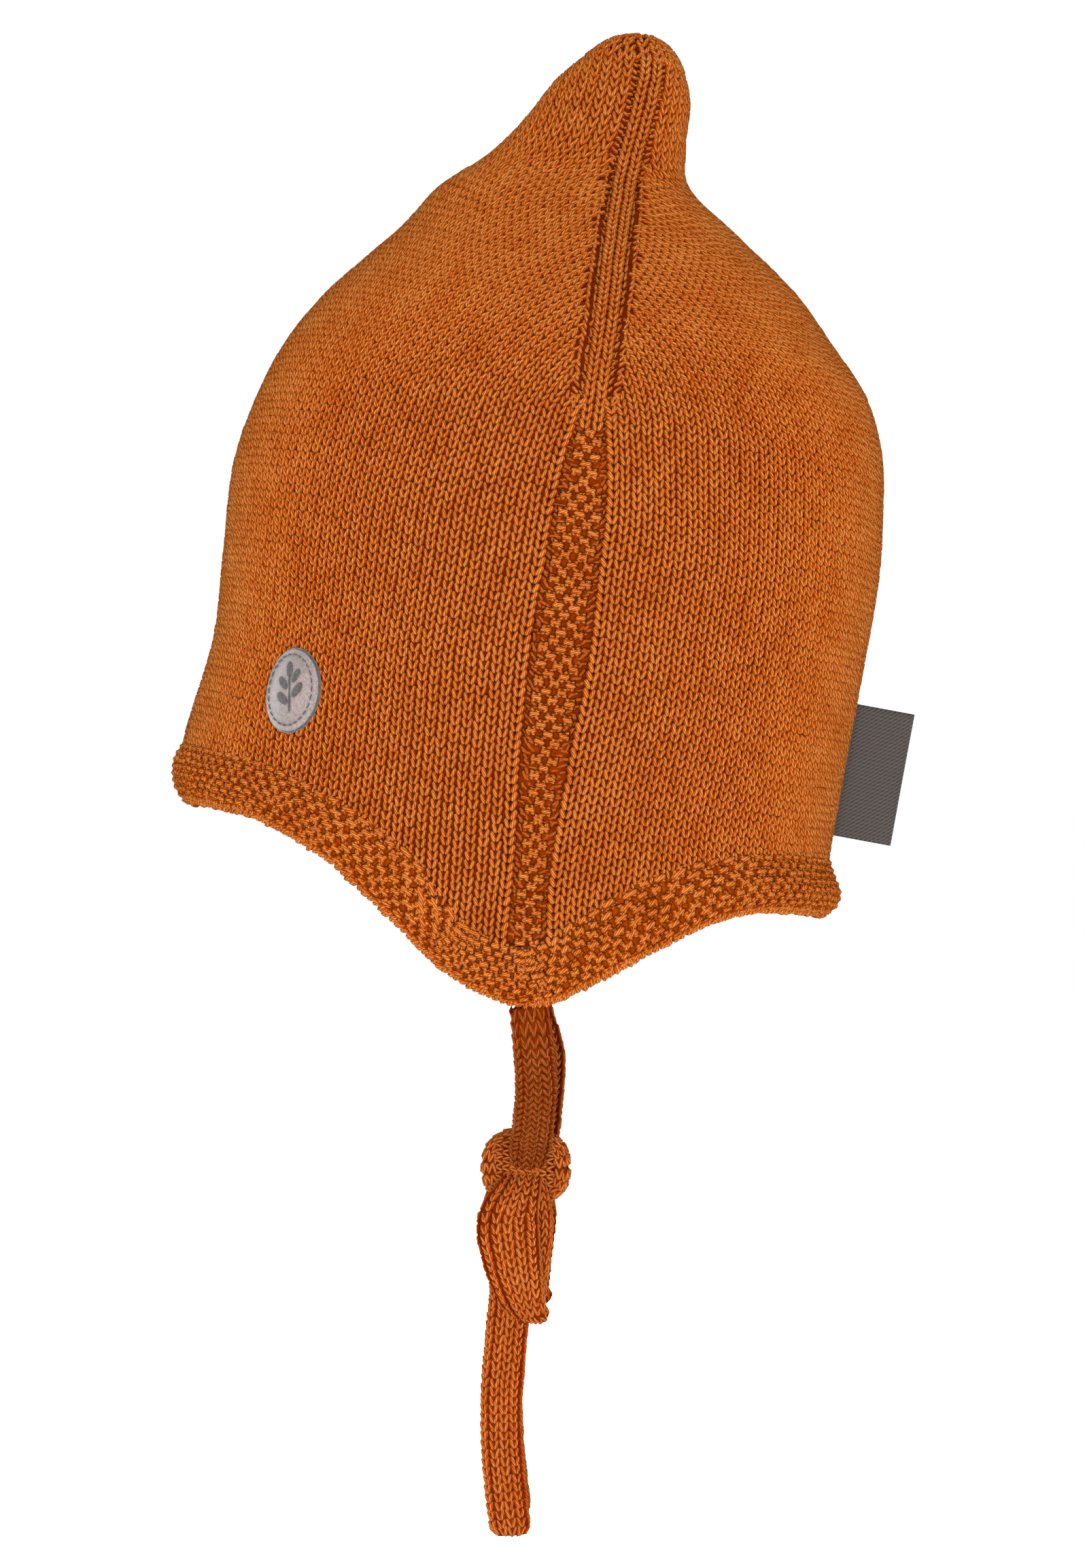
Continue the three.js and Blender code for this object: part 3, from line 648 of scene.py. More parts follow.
def band_yarn(side, seed):
    """The stitches of one band: pearl stitch, and the rib above it."""
    band = Band(side)
    yarn = rib_stitches(Yarn(seed), band, RIB_FOOT, BAND_TOP)
    for number, climb in enumerate(band.rows(band_foot() - FLAP_LAP, RIB_FOOT, PEARL_COURSE)):
        columns = np.arange(-4, 5)
        columns = columns[np.abs(columns) * PEARL_WALE < band.half_at(climb) - 1.9]
        beads = (columns + number) % 2 == 0
        pearl_stitches(yarn, band.place, columns * PEARL_WALE, np.full(columns.shape, climb), beads, full=1.3)
    return yarn


def ladder_yarn(side, seed):
    """The sunk strips at both edges of one band: short slanting strands, like the rungs of a ladder."""
    yarn, band = Yarn(seed), Band(side)
    for climb in band.rows(band_foot(), RIB_FOOT, PEARL_COURSE):
        for edge in (-1, 1):
            across = edge * (band.half_at(climb) - RUNG_INSET) + yarn.stray(RUNG_INSET, 0.2)
            rungs = climb + PEARL_COURSE * RUNG_RISE + yarn.stray(across, 0.2)
            tilt = edge * (math.radians(60) + yarn.stray(across, math.radians(20)))
            size = (0.95 * yarn.vary(across, 0.15), 2.3 * yarn.vary(across, 0.15), 0.9)
            yarn.lay(LEG, band.place, across, rungs, tilt, size, 0.25, -1.05)
    return yarn


# Strands of one pearl: slant from level in degrees, then width, length, thickness and depth.
PEARL_STRANDS = (
    (0, 1.0, 3.0, 1.0, 0.0), (27, 0.92, 3.0, 0.9, 0.14), (-27, 0.92, 3.0, 0.9, 0.18),
    (50, 1.0, 3.5, 0.8, 0.28), (-50, 1.0, 3.5, 0.8, 0.32),
)
PLAIN_PEARL_STRANDS = ((0, 1.3, 3.0, 1.0, 0.0), (40, 1.15, 3.4, 0.85, 0.2), (-40, 1.15, 3.4, 0.85, 0.25))


def pearl_stitches(yarn, place, across, along, beads, full, lift=0.0, strands=PEARL_STRANDS):
    """Pearl stitch: each bead is a fan of short strands that reach out to its neighbours."""
    across = across[beads] + yarn.stray(across[beads], 0.1)
    along = along[beads] + yarn.stray(across, 0.08)
    at = frames_of(place, across, along)
    wide = stretch_of(place, across, along)[0]
    for slant, width, length, thick, depth in strands:
        slant = math.radians(slant)
        tilt = QUARTER + slant + yarn.stray(across, math.radians(6))
        reach = np.hypot(wide * math.cos(slant), math.sin(slant))
        size = (width * full * yarn.vary(across, 0.1), length * reach * yarn.vary(across, 0.08), thick)
        yarn.add(LEG, at, (across, along), (0, 0), tilt, size, 0.22, lift=lift + 0.1 - depth)


TIP_RINGS = (184.4, 186.0, 187.4, 188.6, 189.6, 190.3)
TIP_TOP = 190.4


def tip_yarn(seed):
    """Rings of stitches that close the tip of the peak, and three crossed strands on top."""
    yarn = Yarn(seed)
    turns = np.linspace(-math.pi, math.pi, 361)
    for height in TIP_RINGS:
        girth = lengths_along(hat_point(turns, height))[-1]
        count = max(int(girth / WALE), 5)
        angle = 2 * math.pi * (np.arange(count) + 0.5 * yarn.random.random()) / count
        along = np.full(count, height)
        at = frames_of(hat_point, angle, along)
        for hand in (-1, 1):
            tilt = hand * LEG_TILT * yarn.vary(angle, 0.3)
            size = (1.3 * yarn.vary(angle, 0.08), 3.2 * yarn.vary(angle, 0.1), 1.3)
            yarn.add(LEG, at, (angle * 10, along), (hand * 0.25 * girth / count, 0), tilt, size, 0.35)
    top = hat_point(turns[:-1], TIP_TOP).mean(axis=0)
    at = [np.tile(vector, (3, 1)) for vector in (top, *np.eye(3))]
    tilt = math.radians(60) * np.arange(3)
    yarn.add(BUMP, at, (np.zeros(3), np.full(3, TIP_TOP)), (0, 0), tilt, (1.6, 4.2, 1.3), 0.5)
    return yarn


# The border: pearl stitch in rows along the edge, on both faces.
BORDER_ROWS = 8  # the top one overlaps the crown
BORDER_WALE = 1.62
BORDER_SQUARE = 0.8  # how far its stitches turn with the slanting edge at the ear flaps
RIM_ROWS = ((0.05, 2.6), (0.9, 1.6))  # height and thickness of the two rows of strands round the rim


def border_yarn(inside, seed):
    """The stitches of the border's outer or inner face."""
    yarn = Yarn(seed)
    turn = np.linspace(-math.pi, math.pi, 1441)
    arc = lengths_along(hat_point(turn, above_hem(turn, 4.0)))
    count = 2 * round(arc[-1] / (2 * BORDER_WALE))
    row_height = HEM_WIDTH / BORDER_ROWS
    depth = HEM_WALL - 0.35 if inside else 0.35

    def place(across, along, out):
        across, along, out = np.broadcast_arrays(across, along, out)
        angle = np.interp(np.mod(across, arc[-1]), arc, turn)
        _, run, rise, level = hem_slope(angle)
        angle = angle - BORDER_SQUARE * along * rise / run * 2 * HEM_STEP / level
        out = -out if inside else out
        return hat_point(angle, above_hem(angle, along), swell(angle, along) - depth + out)

    column = np.arange(count)
    middle = arc[-1] / count * (column + 0.5)
    for row in range(BORDER_ROWS):
        across = middle + yarn.stray(column, 0.12)
        along = (row + (0.9 if inside else 0.7)) * row_height + yarn.stray(column, 0.1)
        pearl_stitches(yarn, place, across, along, (column + row) % 2 == 0, 1.45, 0.1,
                       PLAIN_PEARL_STRANDS if inside else PEARL_STRANDS)
    for foot, deep in () if inside else RIM_ROWS:
        across = middle + yarn.stray(column, 0.15)
        along = foot + yarn.stray(column, 0.1)
        tilt = math.radians(50) * yarn.vary(column, 0.2)
        size = (1.45 * yarn.vary(column, 0.1), 2.7 * yarn.vary(column, 0.1), deep)
        yarn.lay(BUMP, place, across, along, tilt, size, 0.25, 0.3 - 0.35 * deep)
    return yarn


# Materials. Their colours are linear red, green and blue.


class Shader:
    """Short ways to put nodes in a tree."""

    def __init__(self, tree):
        self.tree = tree

    def node(self, kind, inputs=(), **settings):
        made = self.tree.nodes.new(kind)
        for name, value in settings.items():
            setattr(made, name, value)
        for socket, value in dict(inputs).items():
            self.put(made.inputs[socket], value)
        return made

    def put(self, socket, value):
        """Links a socket to another, or gives it a number or a colour."""
        if isinstance(value, bpy.types.NodeSocket):
            self.tree.links.new(value, socket)
        else:
            socket.default_value = (*value, 1.0) if isinstance(value, tuple) else value

    def math(self, operation, *values):
        return self.node("ShaderNodeMath", dict(enumerate(values)), operation=operation).outputs[0]

    def plus(self, first, second):
        return self.math("ADD", first, second)

    def times(self, first, second):
        return self.math("MULTIPLY", first, second)

    def weigh(self, first, share, second, other_share):
        """Two values added, each by its share."""
        return self.plus(self.times(first, share), self.times(second, other_share))

    def wave(self, value, half_turns=2, operation="SINE"):
        """A wave with so many half turns to every unit of the value."""
        return self.math(operation, self.times(value, half_turns * math.pi))

    def ridges(self, value, power=1.0):
        """Rows of humps, one to every unit of the value."""
        return self.math("POWER", self.math("ABSOLUTE", self.wave(value, 1)), power)

    def noise(self, vector, scale, detail=2.0, roughness=0.5):
        inputs = {"Vector": vector, "Scale": scale, "Detail": detail, "Roughness": roughness}
        return self.node("ShaderNodeTexNoise", inputs).outputs["Fac"]

    def spread(self, value, low, high, to_low=0.0, to_high=1.0):
        inputs = {"Value": value, "From Min": low, "From Max": high, "To Min": to_low, "To Max": to_high}
        return self.node("ShaderNodeMapRange", inputs).outputs["Result"]

    def ramp(self, value, low, high, first, second):
        """A colour that goes from the first to the second between two values."""
        inputs = {"Factor": self.spread(value, low, high), "A": first, "B": second}
        return self.node("ShaderNodeMix", inputs, data_type="RGBA").outputs["Result"]

    def map_parts(self, name):
        """The two numbers of a UV map."""
        place = self.node("ShaderNodeUVMap", uv_map=name).outputs[0]
        parts = self.node("ShaderNodeSeparateXYZ", {"Vector": place}).outputs
        return parts["X"], parts["Y"]


def plied_strand_group():
    """Node group for one strand: its painted light and shade, and how high its plies and fibres stand."""
    group = bpy.data.node_groups.new("plied_strand", "ShaderNodeTree")
    s = Shader(group)
    round_, long_ = s.map_parts("strand")
    number, along = s.math("FLOOR", long_), s.math("FRACT", long_)
    phase = s.plus(s.weigh(round_, 6.0, along, 2.4), s.times(number, 0.37))
    ply = s.ridges(phase, 0.6)
    fibre_map = s.node("ShaderNodeCombineXYZ", {"X": s.times(phase, 3.0), "Y": s.times(long_, 2.2)})
    fibre = s.noise(fibre_map.outputs[0], 3.0, 3.0, 0.7)
    # Painted shade: darker towards each strand's ends, where it dives under its neighbours.
    ends = s.spread(s.wave(along, 1), 0.0, 0.6, 0.35, 1.0)
    # Painted highlight on the strand's outward ridge, and painted shade on its sides.
    ridge = s.spread(s.wave(s.math("SUBTRACT", round_, 0.5), 2, "COSINE"), -0.2, 0.9, 0.25, 1.1)
    results = {
        # Light: painted highlights along the plies, with the fibres' grain, times the painted shade of ends
        # and sides.
        "Light": s.times(s.times(s.weigh(ply, 0.42, fibre, 0.48), ends), ridge),
        "Height": s.weigh(ply, 0.75, fibre, 0.5),
        "Number": s.math("FRACT", s.times(number, 0.618)),
    }
    for name in results:
        group.interface.new_socket(name, in_out="OUTPUT", socket_type="NodeSocketFloat")
    s.node("NodeGroupOutput", results)
    return group


def new_material(name):
    """A material, short ways to put nodes in it, and the place of each of its points."""
    material = bpy.data.materials.new(name)
    material.use_nodes = True
    s = Shader(material.node_tree)
    return material, s, s.node("ShaderNodeTexCoord").outputs["Object"]


def finish_material(material, s, colour, rough, bump, sheen, tint=(1.0, 1.0, 1.0), gloss=0.05):
    """Feeds a material's Principled shader.

    rough holds a value and the roughness where it is low and high. bump holds a height, a strength
    and a distance in millimetres. Sheen and gloss are the same all over.
    """
    inputs = {"Height": bump[0], "Strength": bump[1], "Distance": bump[2] * MM}
    feeds = {
        "Base Color": colour,
        "Roughness": s.spread(rough[0], 0.2, 0.8, *rough[1:]),
        "Normal": s.node("ShaderNodeBump", inputs).outputs["Normal"],
        "Sheen Weight": sheen,
        "Sheen Roughness": 0.45,
        "Sheen Tint": tint,
        "Specular IOR Level": gloss,
    }
    for name, value in feeds.items():
        s.put(material.node_tree.nodes["Principled BSDF"].inputs[name], value)
    return material


def strand_wool(name, deep, body, lit):
    """Soft plied wool: painted shade where strands dive and on their sides, painted highlights on plies and
    ridge, and uneven dye.
    """
    material, s, spot = new_material(name)
    strand = s.node("ShaderNodeGroup", node_tree=PLIED).outputs
    dye = s.noise(spot, 90.0, 3.0, 0.6)
    light = s.plus(strand["Light"], s.spread(strand["Number"], 0, 1, -0.04, 0.04))
    light = s.plus(light, s.spread(dye, 0.3, 0.7, -0.035, 0.035))
    # From the painted shade colour (deep) through the body colour to the painted highlight colour (lit).
    colour = s.ramp(light, 0.5, 0.82, s.ramp(light, 0.14, 0.5, deep, body), lit)
    bump = (strand["Height"], 0.75, 0.22)
    return finish_material(material, s, colour, (dye, 0.66, 0.8), bump, 0.06, (1.0, 0.5, 0.1), 0.0)


def ground_wool(name, dark, light):
    """Yarn that lies between and behind the stitches; its darker colours are painted shade in the gaps."""
    material, s, spot = new_material(name)
    fuzz = s.noise(spot, 2200.0, 3.0, 0.65)
    colour = s.ramp(s.weigh(fuzz, 0.6, s.noise(spot, 260.0), 0.4), 0.32, 0.68, dark, light)
    bump = (fuzz, 0.7, 0.35)
    return finish_material(material, s, colour, (fuzz, 0.82, 0.95), bump, 0.03, (1.0, 0.4, 0.1), 0.0)


def purl_wool(name, deep, body, lit, wales, courses):
    """The inner face of plain knit: rows of small interlocking arcs, with painted highlights on the arcs and
    painted shade between them.
    """
    material, s, spot = new_material(name)
    u, v = s.map_parts("pattern")
    across = s.times(u, wales)
    arcs = s.weigh(v, courses, s.wave(across), 0.24)
    dip = s.spread(s.math("ABSOLUTE", s.wave(across, 2, "COSINE")), 0, 1, 0.62, 1.0)
    fuzz = s.noise(spot, 1500.0, 3.0, 0.7)
    light = s.weigh(s.times(s.ridges(arcs, 0.8), dip), 0.75, fuzz, 0.3)
    colour = s.ramp(light, 0.6, 1.0, s.ramp(light, 0.15, 0.6, deep, body), lit)
    return finish_material(material, s, colour, (fuzz, 0.75, 0.92), (light, 1.0, 0.9), 0.15, (1.0, 0.6, 0.3))


def felt(name, dark, light):
    """Pressed felt: short matted fibres in every direction."""
    material, s, spot = new_material(name)
    mat = s.noise(spot, 1400.0, 4.0, 0.75)
    fibre = s.node("ShaderNodeTexVoronoi", {"Vector": spot, "Scale": 1700.0}, feature="DISTANCE_TO_EDGE")
    mixed = s.weigh(mat, 0.8, s.spread(fibre.outputs["Distance"], 0.0, 0.12), 0.2)
    colour = s.ramp(mixed, 0.38, 0.78, dark, light)
    return finish_material(material, s, colour, (mat, 0.86, 0.98), (mixed, 0.6, 0.25), 0.3)


def twill_tape(name, dark, light, ribs=28.0, threads=33.0):
    """Woven ribbon: fine slanting ribs with a thread's grain across them."""
    material, s, spot = new_material(name)
    u, v = s.map_parts("pattern")
    along = s.times(v, threads)
    slant = s.wave(s.math("SUBTRACT", s.times(u, ribs), along))
    fuzz = s.noise(spot, 3000.0, 2.0, 0.6)
    weave = s.plus(s.spread(slant, -1, 1, 0, 0.6), s.weigh(s.ridges(along), 0.25, fuzz, 0.25))
    colour = s.ramp(weave, 0.15, 0.95, dark, light)
    return finish_material(material, s, colour, (fuzz, 0.42, 0.6), (weave, 0.8, 0.25), 0.1, gloss=0.2)


PLIED = plied_strand_group()
# Strand wools: painted shade colour, body colour and painted highlight colour.
OCHRE = strand_wool("ochre_strands", (0.105, 0.0045, 0.0001), (0.200, 0.031, 0.0005), (0.368, 0.141, 0.035))
RUST = strand_wool("rust_strands", (0.105, 0.004, 0.0001), (0.220, 0.033, 0.0010), (0.390, 0.142, 0.041))
# A darker copy of the ochre wool: painted shade for the ladder strands sunk in the band's troughs.
SHADED_OCHRE = strand_wool(
    "shaded_ochre_strands", (0.06, 0.003, 0.0001), (0.17, 0.020, 0.0004), (0.33, 0.086, 0.015))
# A darker copy of the rust wool: painted shade for the near tie's chin run, which slopes to face down.
SHADED_RUST = strand_wool(
    "shaded_rust_strands", (0.055, 0.002, 0.0001), (0.125, 0.017, 0.001), (0.235, 0.066, 0.018))
# The grounds are darker than the strands: painted shade in the gaps between and behind the stitches.
OCHRE_GROUND = ground_wool("ochre_ground", (0.055, 0.0036, 0.0001), (0.12, 0.013, 0.0003))
BAND_GROUND = ground_wool("band_ground", (0.070, 0.006, 0.0001), (0.150, 0.019, 0.0004))
PEARL_GROUND = ground_wool("pearl_ground", (0.10, 0.011, 0.0002), (0.20, 0.030, 0.0006))
RUST_GROUND = ground_wool("rust_ground", (0.055, 0.0050, 0.0002), (0.115, 0.0160, 0.0006))
BADGE_FELT = felt("badge_felt", (0.11, 0.088, 0.084), (0.23, 0.187, 0.178))
BADGE_DARK = felt("badge_dark_felt", (0.028, 0.026, 0.026), (0.075, 0.070, 0.068))
TAPE = twill_tape("tape_twill", (0.006, 0.0045, 0.0035), (0.040, 0.031, 0.026))
# Painted shade colour, body colour and painted highlight colour of the purl arcs.
INNER_PURL = purl_wool(
    "ochre_purl", (0.16, 0.03, 0.003), (0.50, 0.145, 0.011), (0.72, 0.26, 0.035), 168.0, 112.0)


# The crown's ground shell, with a slot for each band.
FRONT_COLUMNS, BAND_COLUMNS = 84, 8
ZONE_STARTS = np.cumsum([0, FRONT_COLUMNS, BAND_COLUMNS, FRONT_COLUMNS, BAND_COLUMNS])
ALL_COLUMNS = int(ZONE_STARTS[-1])
GROUND_ROWS = 72
LOW_SHARE = 0.14  # of the rows, which lie below the first level one
LEVEL_ROW = 30.0
GROUND_TOP = 189.01
GROUND_DEPTH = 0.85
SLOT_MARGIN = 0.3  # the slot is this much wider than the band on either side
FOLD_EXTRA = 0.4  # the ground dips this much more than the stitches at a fold
BAND_SHELL = {"lap": 1.6, "depth": 0.75, "wall": 0.6, "below_top": 0.3, "gutter": (1, 6)}
BORDER_SHELL = {"rows": 26, "columns": 240, "foot": 0.9, "inner": 0.75}


def column_angle(column, height):
    """Angle of one of the shell's columns, which keep to the bands' edges."""
    level = np.maximum(height, EDGE_LEVEL)
    front, back = (band_angle(level, facing, SLOT_MARGIN) for facing in (1, -1))
    edges = [front - QUARTER, QUARTER - front, QUARTER + back, 3 * QUARTER - back, 3 * QUARTER + front]
    zone = np.clip(np.searchsorted(ZONE_STARTS, column, side="right") - 1, 0, 3)
    share = (column - ZONE_STARTS[zone]) / (ZONE_STARTS[zone + 1] - ZONE_STARTS[zone])
    return np.choose(zone, edges[:4]) * (1 - share) + np.choose(zone, edges[1:]) * share


def ground_height(column, v):
    """Height of the shell's rows. The lowest ones spread between the border and a level one."""
    foot = above_hem(column_angle(column, np.full(column.shape, EDGE_LEVEL)), HEM_WIDTH) - 0.2
    low = foot + (LEVEL_ROW - foot) * v / LOW_SHARE
    heights = np.arange(LEVEL_ROW, GROUND_TOP, 0.25)
    climb = side_climb(heights)
    high = np.interp((v - LOW_SHARE) / (1 - LOW_SHARE) * climb[-1], climb, heights)
    return np.where(v < LOW_SHARE, low, high)


def crown_ground():
    """The shell that the crown's stitches lie on."""
    def place(u, v):
        column = np.mod(u * ALL_COLUMNS, ALL_COLUMNS)
        height = ground_height(column, v)
        at_fold = np.min(np.abs(column[:, None] - ZONE_STARTS), axis=1) < 0.5
        fold = np.where(at_fold, fold_depth(height) + FOLD_EXTRA, 0)
        return hat_point(column_angle(column, height), height, -GROUND_DEPTH - fold)

    def in_slot(u, v):
        column = u * ALL_COLUMNS
        zone = np.searchsorted(ZONE_STARTS, column, side="right") - 1
        return (zone % 2 == 1) & (ground_height(column, v) < BAND_TOP)

    bm = mapped_grid(ALL_COLUMNS, GROUND_ROWS, place, in_slot)
    high = max(vert.co.z for vert in bm.verts)
    rim = [edge for edge in bm.edges if edge.is_boundary and edge.verts[0].co.z > high - 4 * MM]
    bmesh.ops.holes_fill(bm, edges=rim, sides=0)
    lid = [face for face in bm.faces if len(face.verts) > 4]
    bmesh.ops.poke(bm, faces=lid, offset=0.9 * MM)
    wall = KNIT_WALL - GROUND_DEPTH
    finish_shell("crown_ground", bm, [OCHRE_GROUND, INNER_PURL], ["crown"], wall)


def band_ground(side, hand):
    """The shell below one band's stitches."""
    foot = band_foot() - FLAP_LAP

    def place(u, v):
        height = foot + (BAND_TOP - BAND_SHELL["below_top"] - foot) * v
        level = np.maximum(height, EDGE_LEVEL)
        front, back = (band_angle(level, facing, BAND_SHELL["lap"]) for facing in (1, -1))
        angle = side * (QUARTER - front + (front + back) * u)
        gutter = (2 * u - 1) ** 2 * step_between(height - foot, *BAND_SHELL["gutter"])
        return hat_point(angle, height, -band_sunk(height) - BAND_SHELL["depth"] - gutter)

    bm = mapped_grid(8, 90, place)
    if side < 0:
        bmesh.ops.reverse_faces(bm, faces=bm.faces)
    name, wools = f"side_band_ground_{hand}", [BAND_GROUND, INNER_PURL]
    finish_shell(name, bm, wools, [f"side_band_{hand}"], BAND_SHELL["wall"])


def border_ground():
    """The ring that the border's stitches lie on, closed all round its section."""
    rows, foot = BORDER_SHELL["rows"], BORDER_SHELL["foot"]
    half = rows // 2

    def place(u, v):
        angle = 2 * math.pi * u
        row = np.round(v * rows)
        outer = row < half
        share = np.where(outer, 1 - row / (half - 1), (row - half) / (half - 1))
        last = row > rows - 0.5
        up = np.where(last, HEM_WIDTH, foot + (HEM_WIDTH - foot) * share)
        depth = np.where(outer | last, GROUND_DEPTH, HEM_WALL - BORDER_SHELL["inner"])
        return hat_point(angle, above_hem(angle, up), swell(angle, up) - depth)

    bm = mapped_grid(BORDER_SHELL["columns"], rows, place)
    bmesh.ops.recalc_face_normals(bm, faces=bm.faces)
    finish_shell("border_ground", bm, [PEARL_GROUND], ["hem_border"])


def knit_the_hat():
    """Stitches of the crown, the bands and the border."""
    for facing, name in ((1, "front"), (-1, "back")):
        panel = Panel(facing)
        for side, hand in HANDS:
            yarn = panel_yarn(panel, side, 10 + 2 * facing + side)
            yarn.finish(f"{name}_knit_{hand}", OCHRE, "ochre_knit")
    for side, hand in HANDS:
        rib = rib_stitches(Yarn(40 + side), Band(side), BAND_TOP, RIB_TOP)
        band_yarn(side, 30 + side).finish(f"side_band_knit_{hand}", OCHRE, "ochre_knit")
        rib.finish(f"peak_rib_{hand}", OCHRE, "ochre_knit")
        # The ladder strands take the darker copy of the ochre: painted shade.
        ladder_yarn(side, 48 + side).finish(f"side_band_ladder_{hand}", SHADED_OCHRE, "ochre_knit")
    tip_yarn(45).finish("peak_tip_knit", OCHRE, "ochre_knit")
    for inside, name in ((False, "border_knit_outer"), (True, "border_knit_inner")):
        border_yarn(inside, 50 + inside).finish(name, OCHRE, "ochre_knit")


# The ties. Rows are measured from the knot, in millimetres, for the left side.
STRAP_WIDTH, STRAP_THICK = 9.4, 3.2
KNOT = np.array([0, -10.3, -207.6])
RING = {"along_y": 7.6, "along_z": 6.3, "half_width": 4.4, "half_thick": 2.5}
RING_GIRTH = 22.0
RING_RADIUS = 7.0  # of a circle as long as the ring's middle line
RING_LENGTH = 2 * math.pi * RING_RADIUS
CORE = {"along_y": 5.3, "along_z": 3.7, "reach": 8.3, "raised": 0.9}
CORE_GIRTH = 27.0
CORE_LENGTH = 2 * CORE["reach"]
WRAP = {"near": 8.3, "falls": 3.4, "reach": 7.5, "rolls": 1.2, "half_width": 4.5, "raised": 0.4,
        "slants": 0.05}
WRAP_WALE = 1.7
FAR_BEHIND = {"chin": 2.2, "loop": 0.8}
FAR_SHARE = 0.97
# Wales round a strap and the pitch of its courses. The chin run is pulled taut, and the loop spreads.
CHIN_KNIT, LOOP_KNIT, END_KNIT = (9, 2.9), (12, 1.9), (9, 2.0)
RING_KNIT, CORE_KNIT = (9, 2.1), (11, 2.1)
YARN_DEPTH = 0.35  # the straps' ground lies this much below their face


def flap_foot():
    """Where a tie leaves the lowest point of its ear flap."""
    return hat_point(QUARTER, hem_height(QUARTER) - 0.48, -0.7 * HEM_WALL)[0]


# Columns: x, y, z, turn of the width in degrees, width and thickness as shares.
CHIN_TAIL = [(13.0, 0.9, 5.6, 0, 0.95, 1), (7.4, 0.4, 1.9, 0, 0.8, 1), (5.0, 0, 0.6, 0, 0.7, 1)]
LOOP = [
    (5.2, 0, -0.6, 0, 0.8, 1), (10.4, -1.6, -4.4, 0, 1.1, 1), (14.2, -3.9, -11.0, 4, 1.5, 0.9),
    (16.0, -2.8, -20.0, 8, 1.4, 0.9), (16.0, -0.5, -28.2, 22, 1.12, 1), (14.2, 1.5, -32.2, 40, 0.85, 1),
    (11.6, 1.4, -30.6, 44, 0.8, 1), (10.6, 1.4, -23.0, 36, 0.9, 1), (10.0, 1.8, -13.0, 22, 0.95, 1),
    (8.2, 1.2, -5.6, 10, 0.85, 1), (5.2, 0.4, -0.8, 0, 0.75, 1),
]
END = [
    (5.2, 0, -0.8, 0, 0.8, 1), (7.0, -0.6, -5.6, 0, 0.9, 1), (6.4, -1.6, -11.4, 0, 1, 1),
    (5.2, -2.9, -20.0, 0, 1, 1), (4.8, -3.9, -32.0, 0, 1, 1), (4.6, -4.9, -43.0, 0, 1, 1),
    (4.4, -5.6, -53.0, 0, 1, 1), (4.6, -5.4, -64.0, 0, 1, 1), (5.0, -4.4, -75.0, 0, 1, 1),
    (5.2, -3.6, -81.2, 0, 0.95, 1), (5.2, -3.5, -83.0, 0, 0.7, 0.7),
]


def tie_runs(side):
    """The three runs of one tie: from the flap to the knot, the loop and the hanging end."""
    x, y, z = flap_foot() - KNOT
    chin = [(x, y + 0.5, z, 0, 0.88, 0.75), (x - 1.8, y + 1.2, z - 6.5, 0, 0.9, 1),
            (x - 14, y + 2.0, z - 17.5, 0, 0.94, 1), (x - 31, y + 1.2, z - 28.5, 0, 0.96, 1)] + CHIN_TAIL
    runs = [np.array(run, float) for run in (chin, LOOP, END)]
    if side > 0:
        return runs
    runs[0][2:-1, 1] += FAR_BEHIND["chin"]
    runs[1][2:-1, 1] += FAR_BEHIND["loop"]
    runs[2][:, 2] *= FAR_SHARE
    for run in runs:
        run[:, 0] *= -1
        run[:, 3] *= -1
    return runs


def curve_through(points, steps):
    """Points along a smooth curve whose knots are spaced by the root of their distance."""
    padded = np.concatenate([[2 * points[0] - points[1]], points, [2 * points[-1] - points[-2]]])
    gaps = np.linalg.norm(np.diff(padded, axis=0), axis=1) ** 0.5
    spans = len(points) - 1
    at = np.linspace(0, spans, steps + 1)
    k = np.minimum(at.astype(int), spans - 1)
    w = (at - k)[:, None]
    p0, p1, p2, p3 = (padded[k + n] for n in range(4))
    d0, d1, d2 = (gaps[k + n][:, None] for n in range(3))
    t1 = ((p1 - p0) / d0 - (p2 - p0) / (d0 + d1) + (p2 - p1) / d1) * d1
    t2 = ((p2 - p1) / d1 - (p3 - p1) / (d1 + d2) + (p3 - p2) / d2) * d1
    return p1 + t1 * w + (3 * (p2 - p1) - 2 * t1 - t2) * w**2 + (2 * (p1 - p2) + t1 + t2) * w**3, at


def squarish(value, power):
    """A sine or cosine made flatter, which gives an oval squarer corners."""
    return np.sign(value) * np.abs(value) ** power


def flat_oval(turn):
    """The strap's section: a flattened oval, unit half width and half thickness."""
    return squarish(np.cos(turn), 0.7), squarish(np.sin(turn), 0.7)


def section_turns():
    """Turns round the oval, and its girth up to each of them."""
    turn = np.linspace(0, 2 * math.pi, 721)
    x, y = flat_oval(turn)
    return turn, lengths_along(np.stack([x * STRAP_WIDTH / 2, y * STRAP_THICK / 2], axis=-1))


SECTION_TURN, SECTION_GIRTH = section_turns()


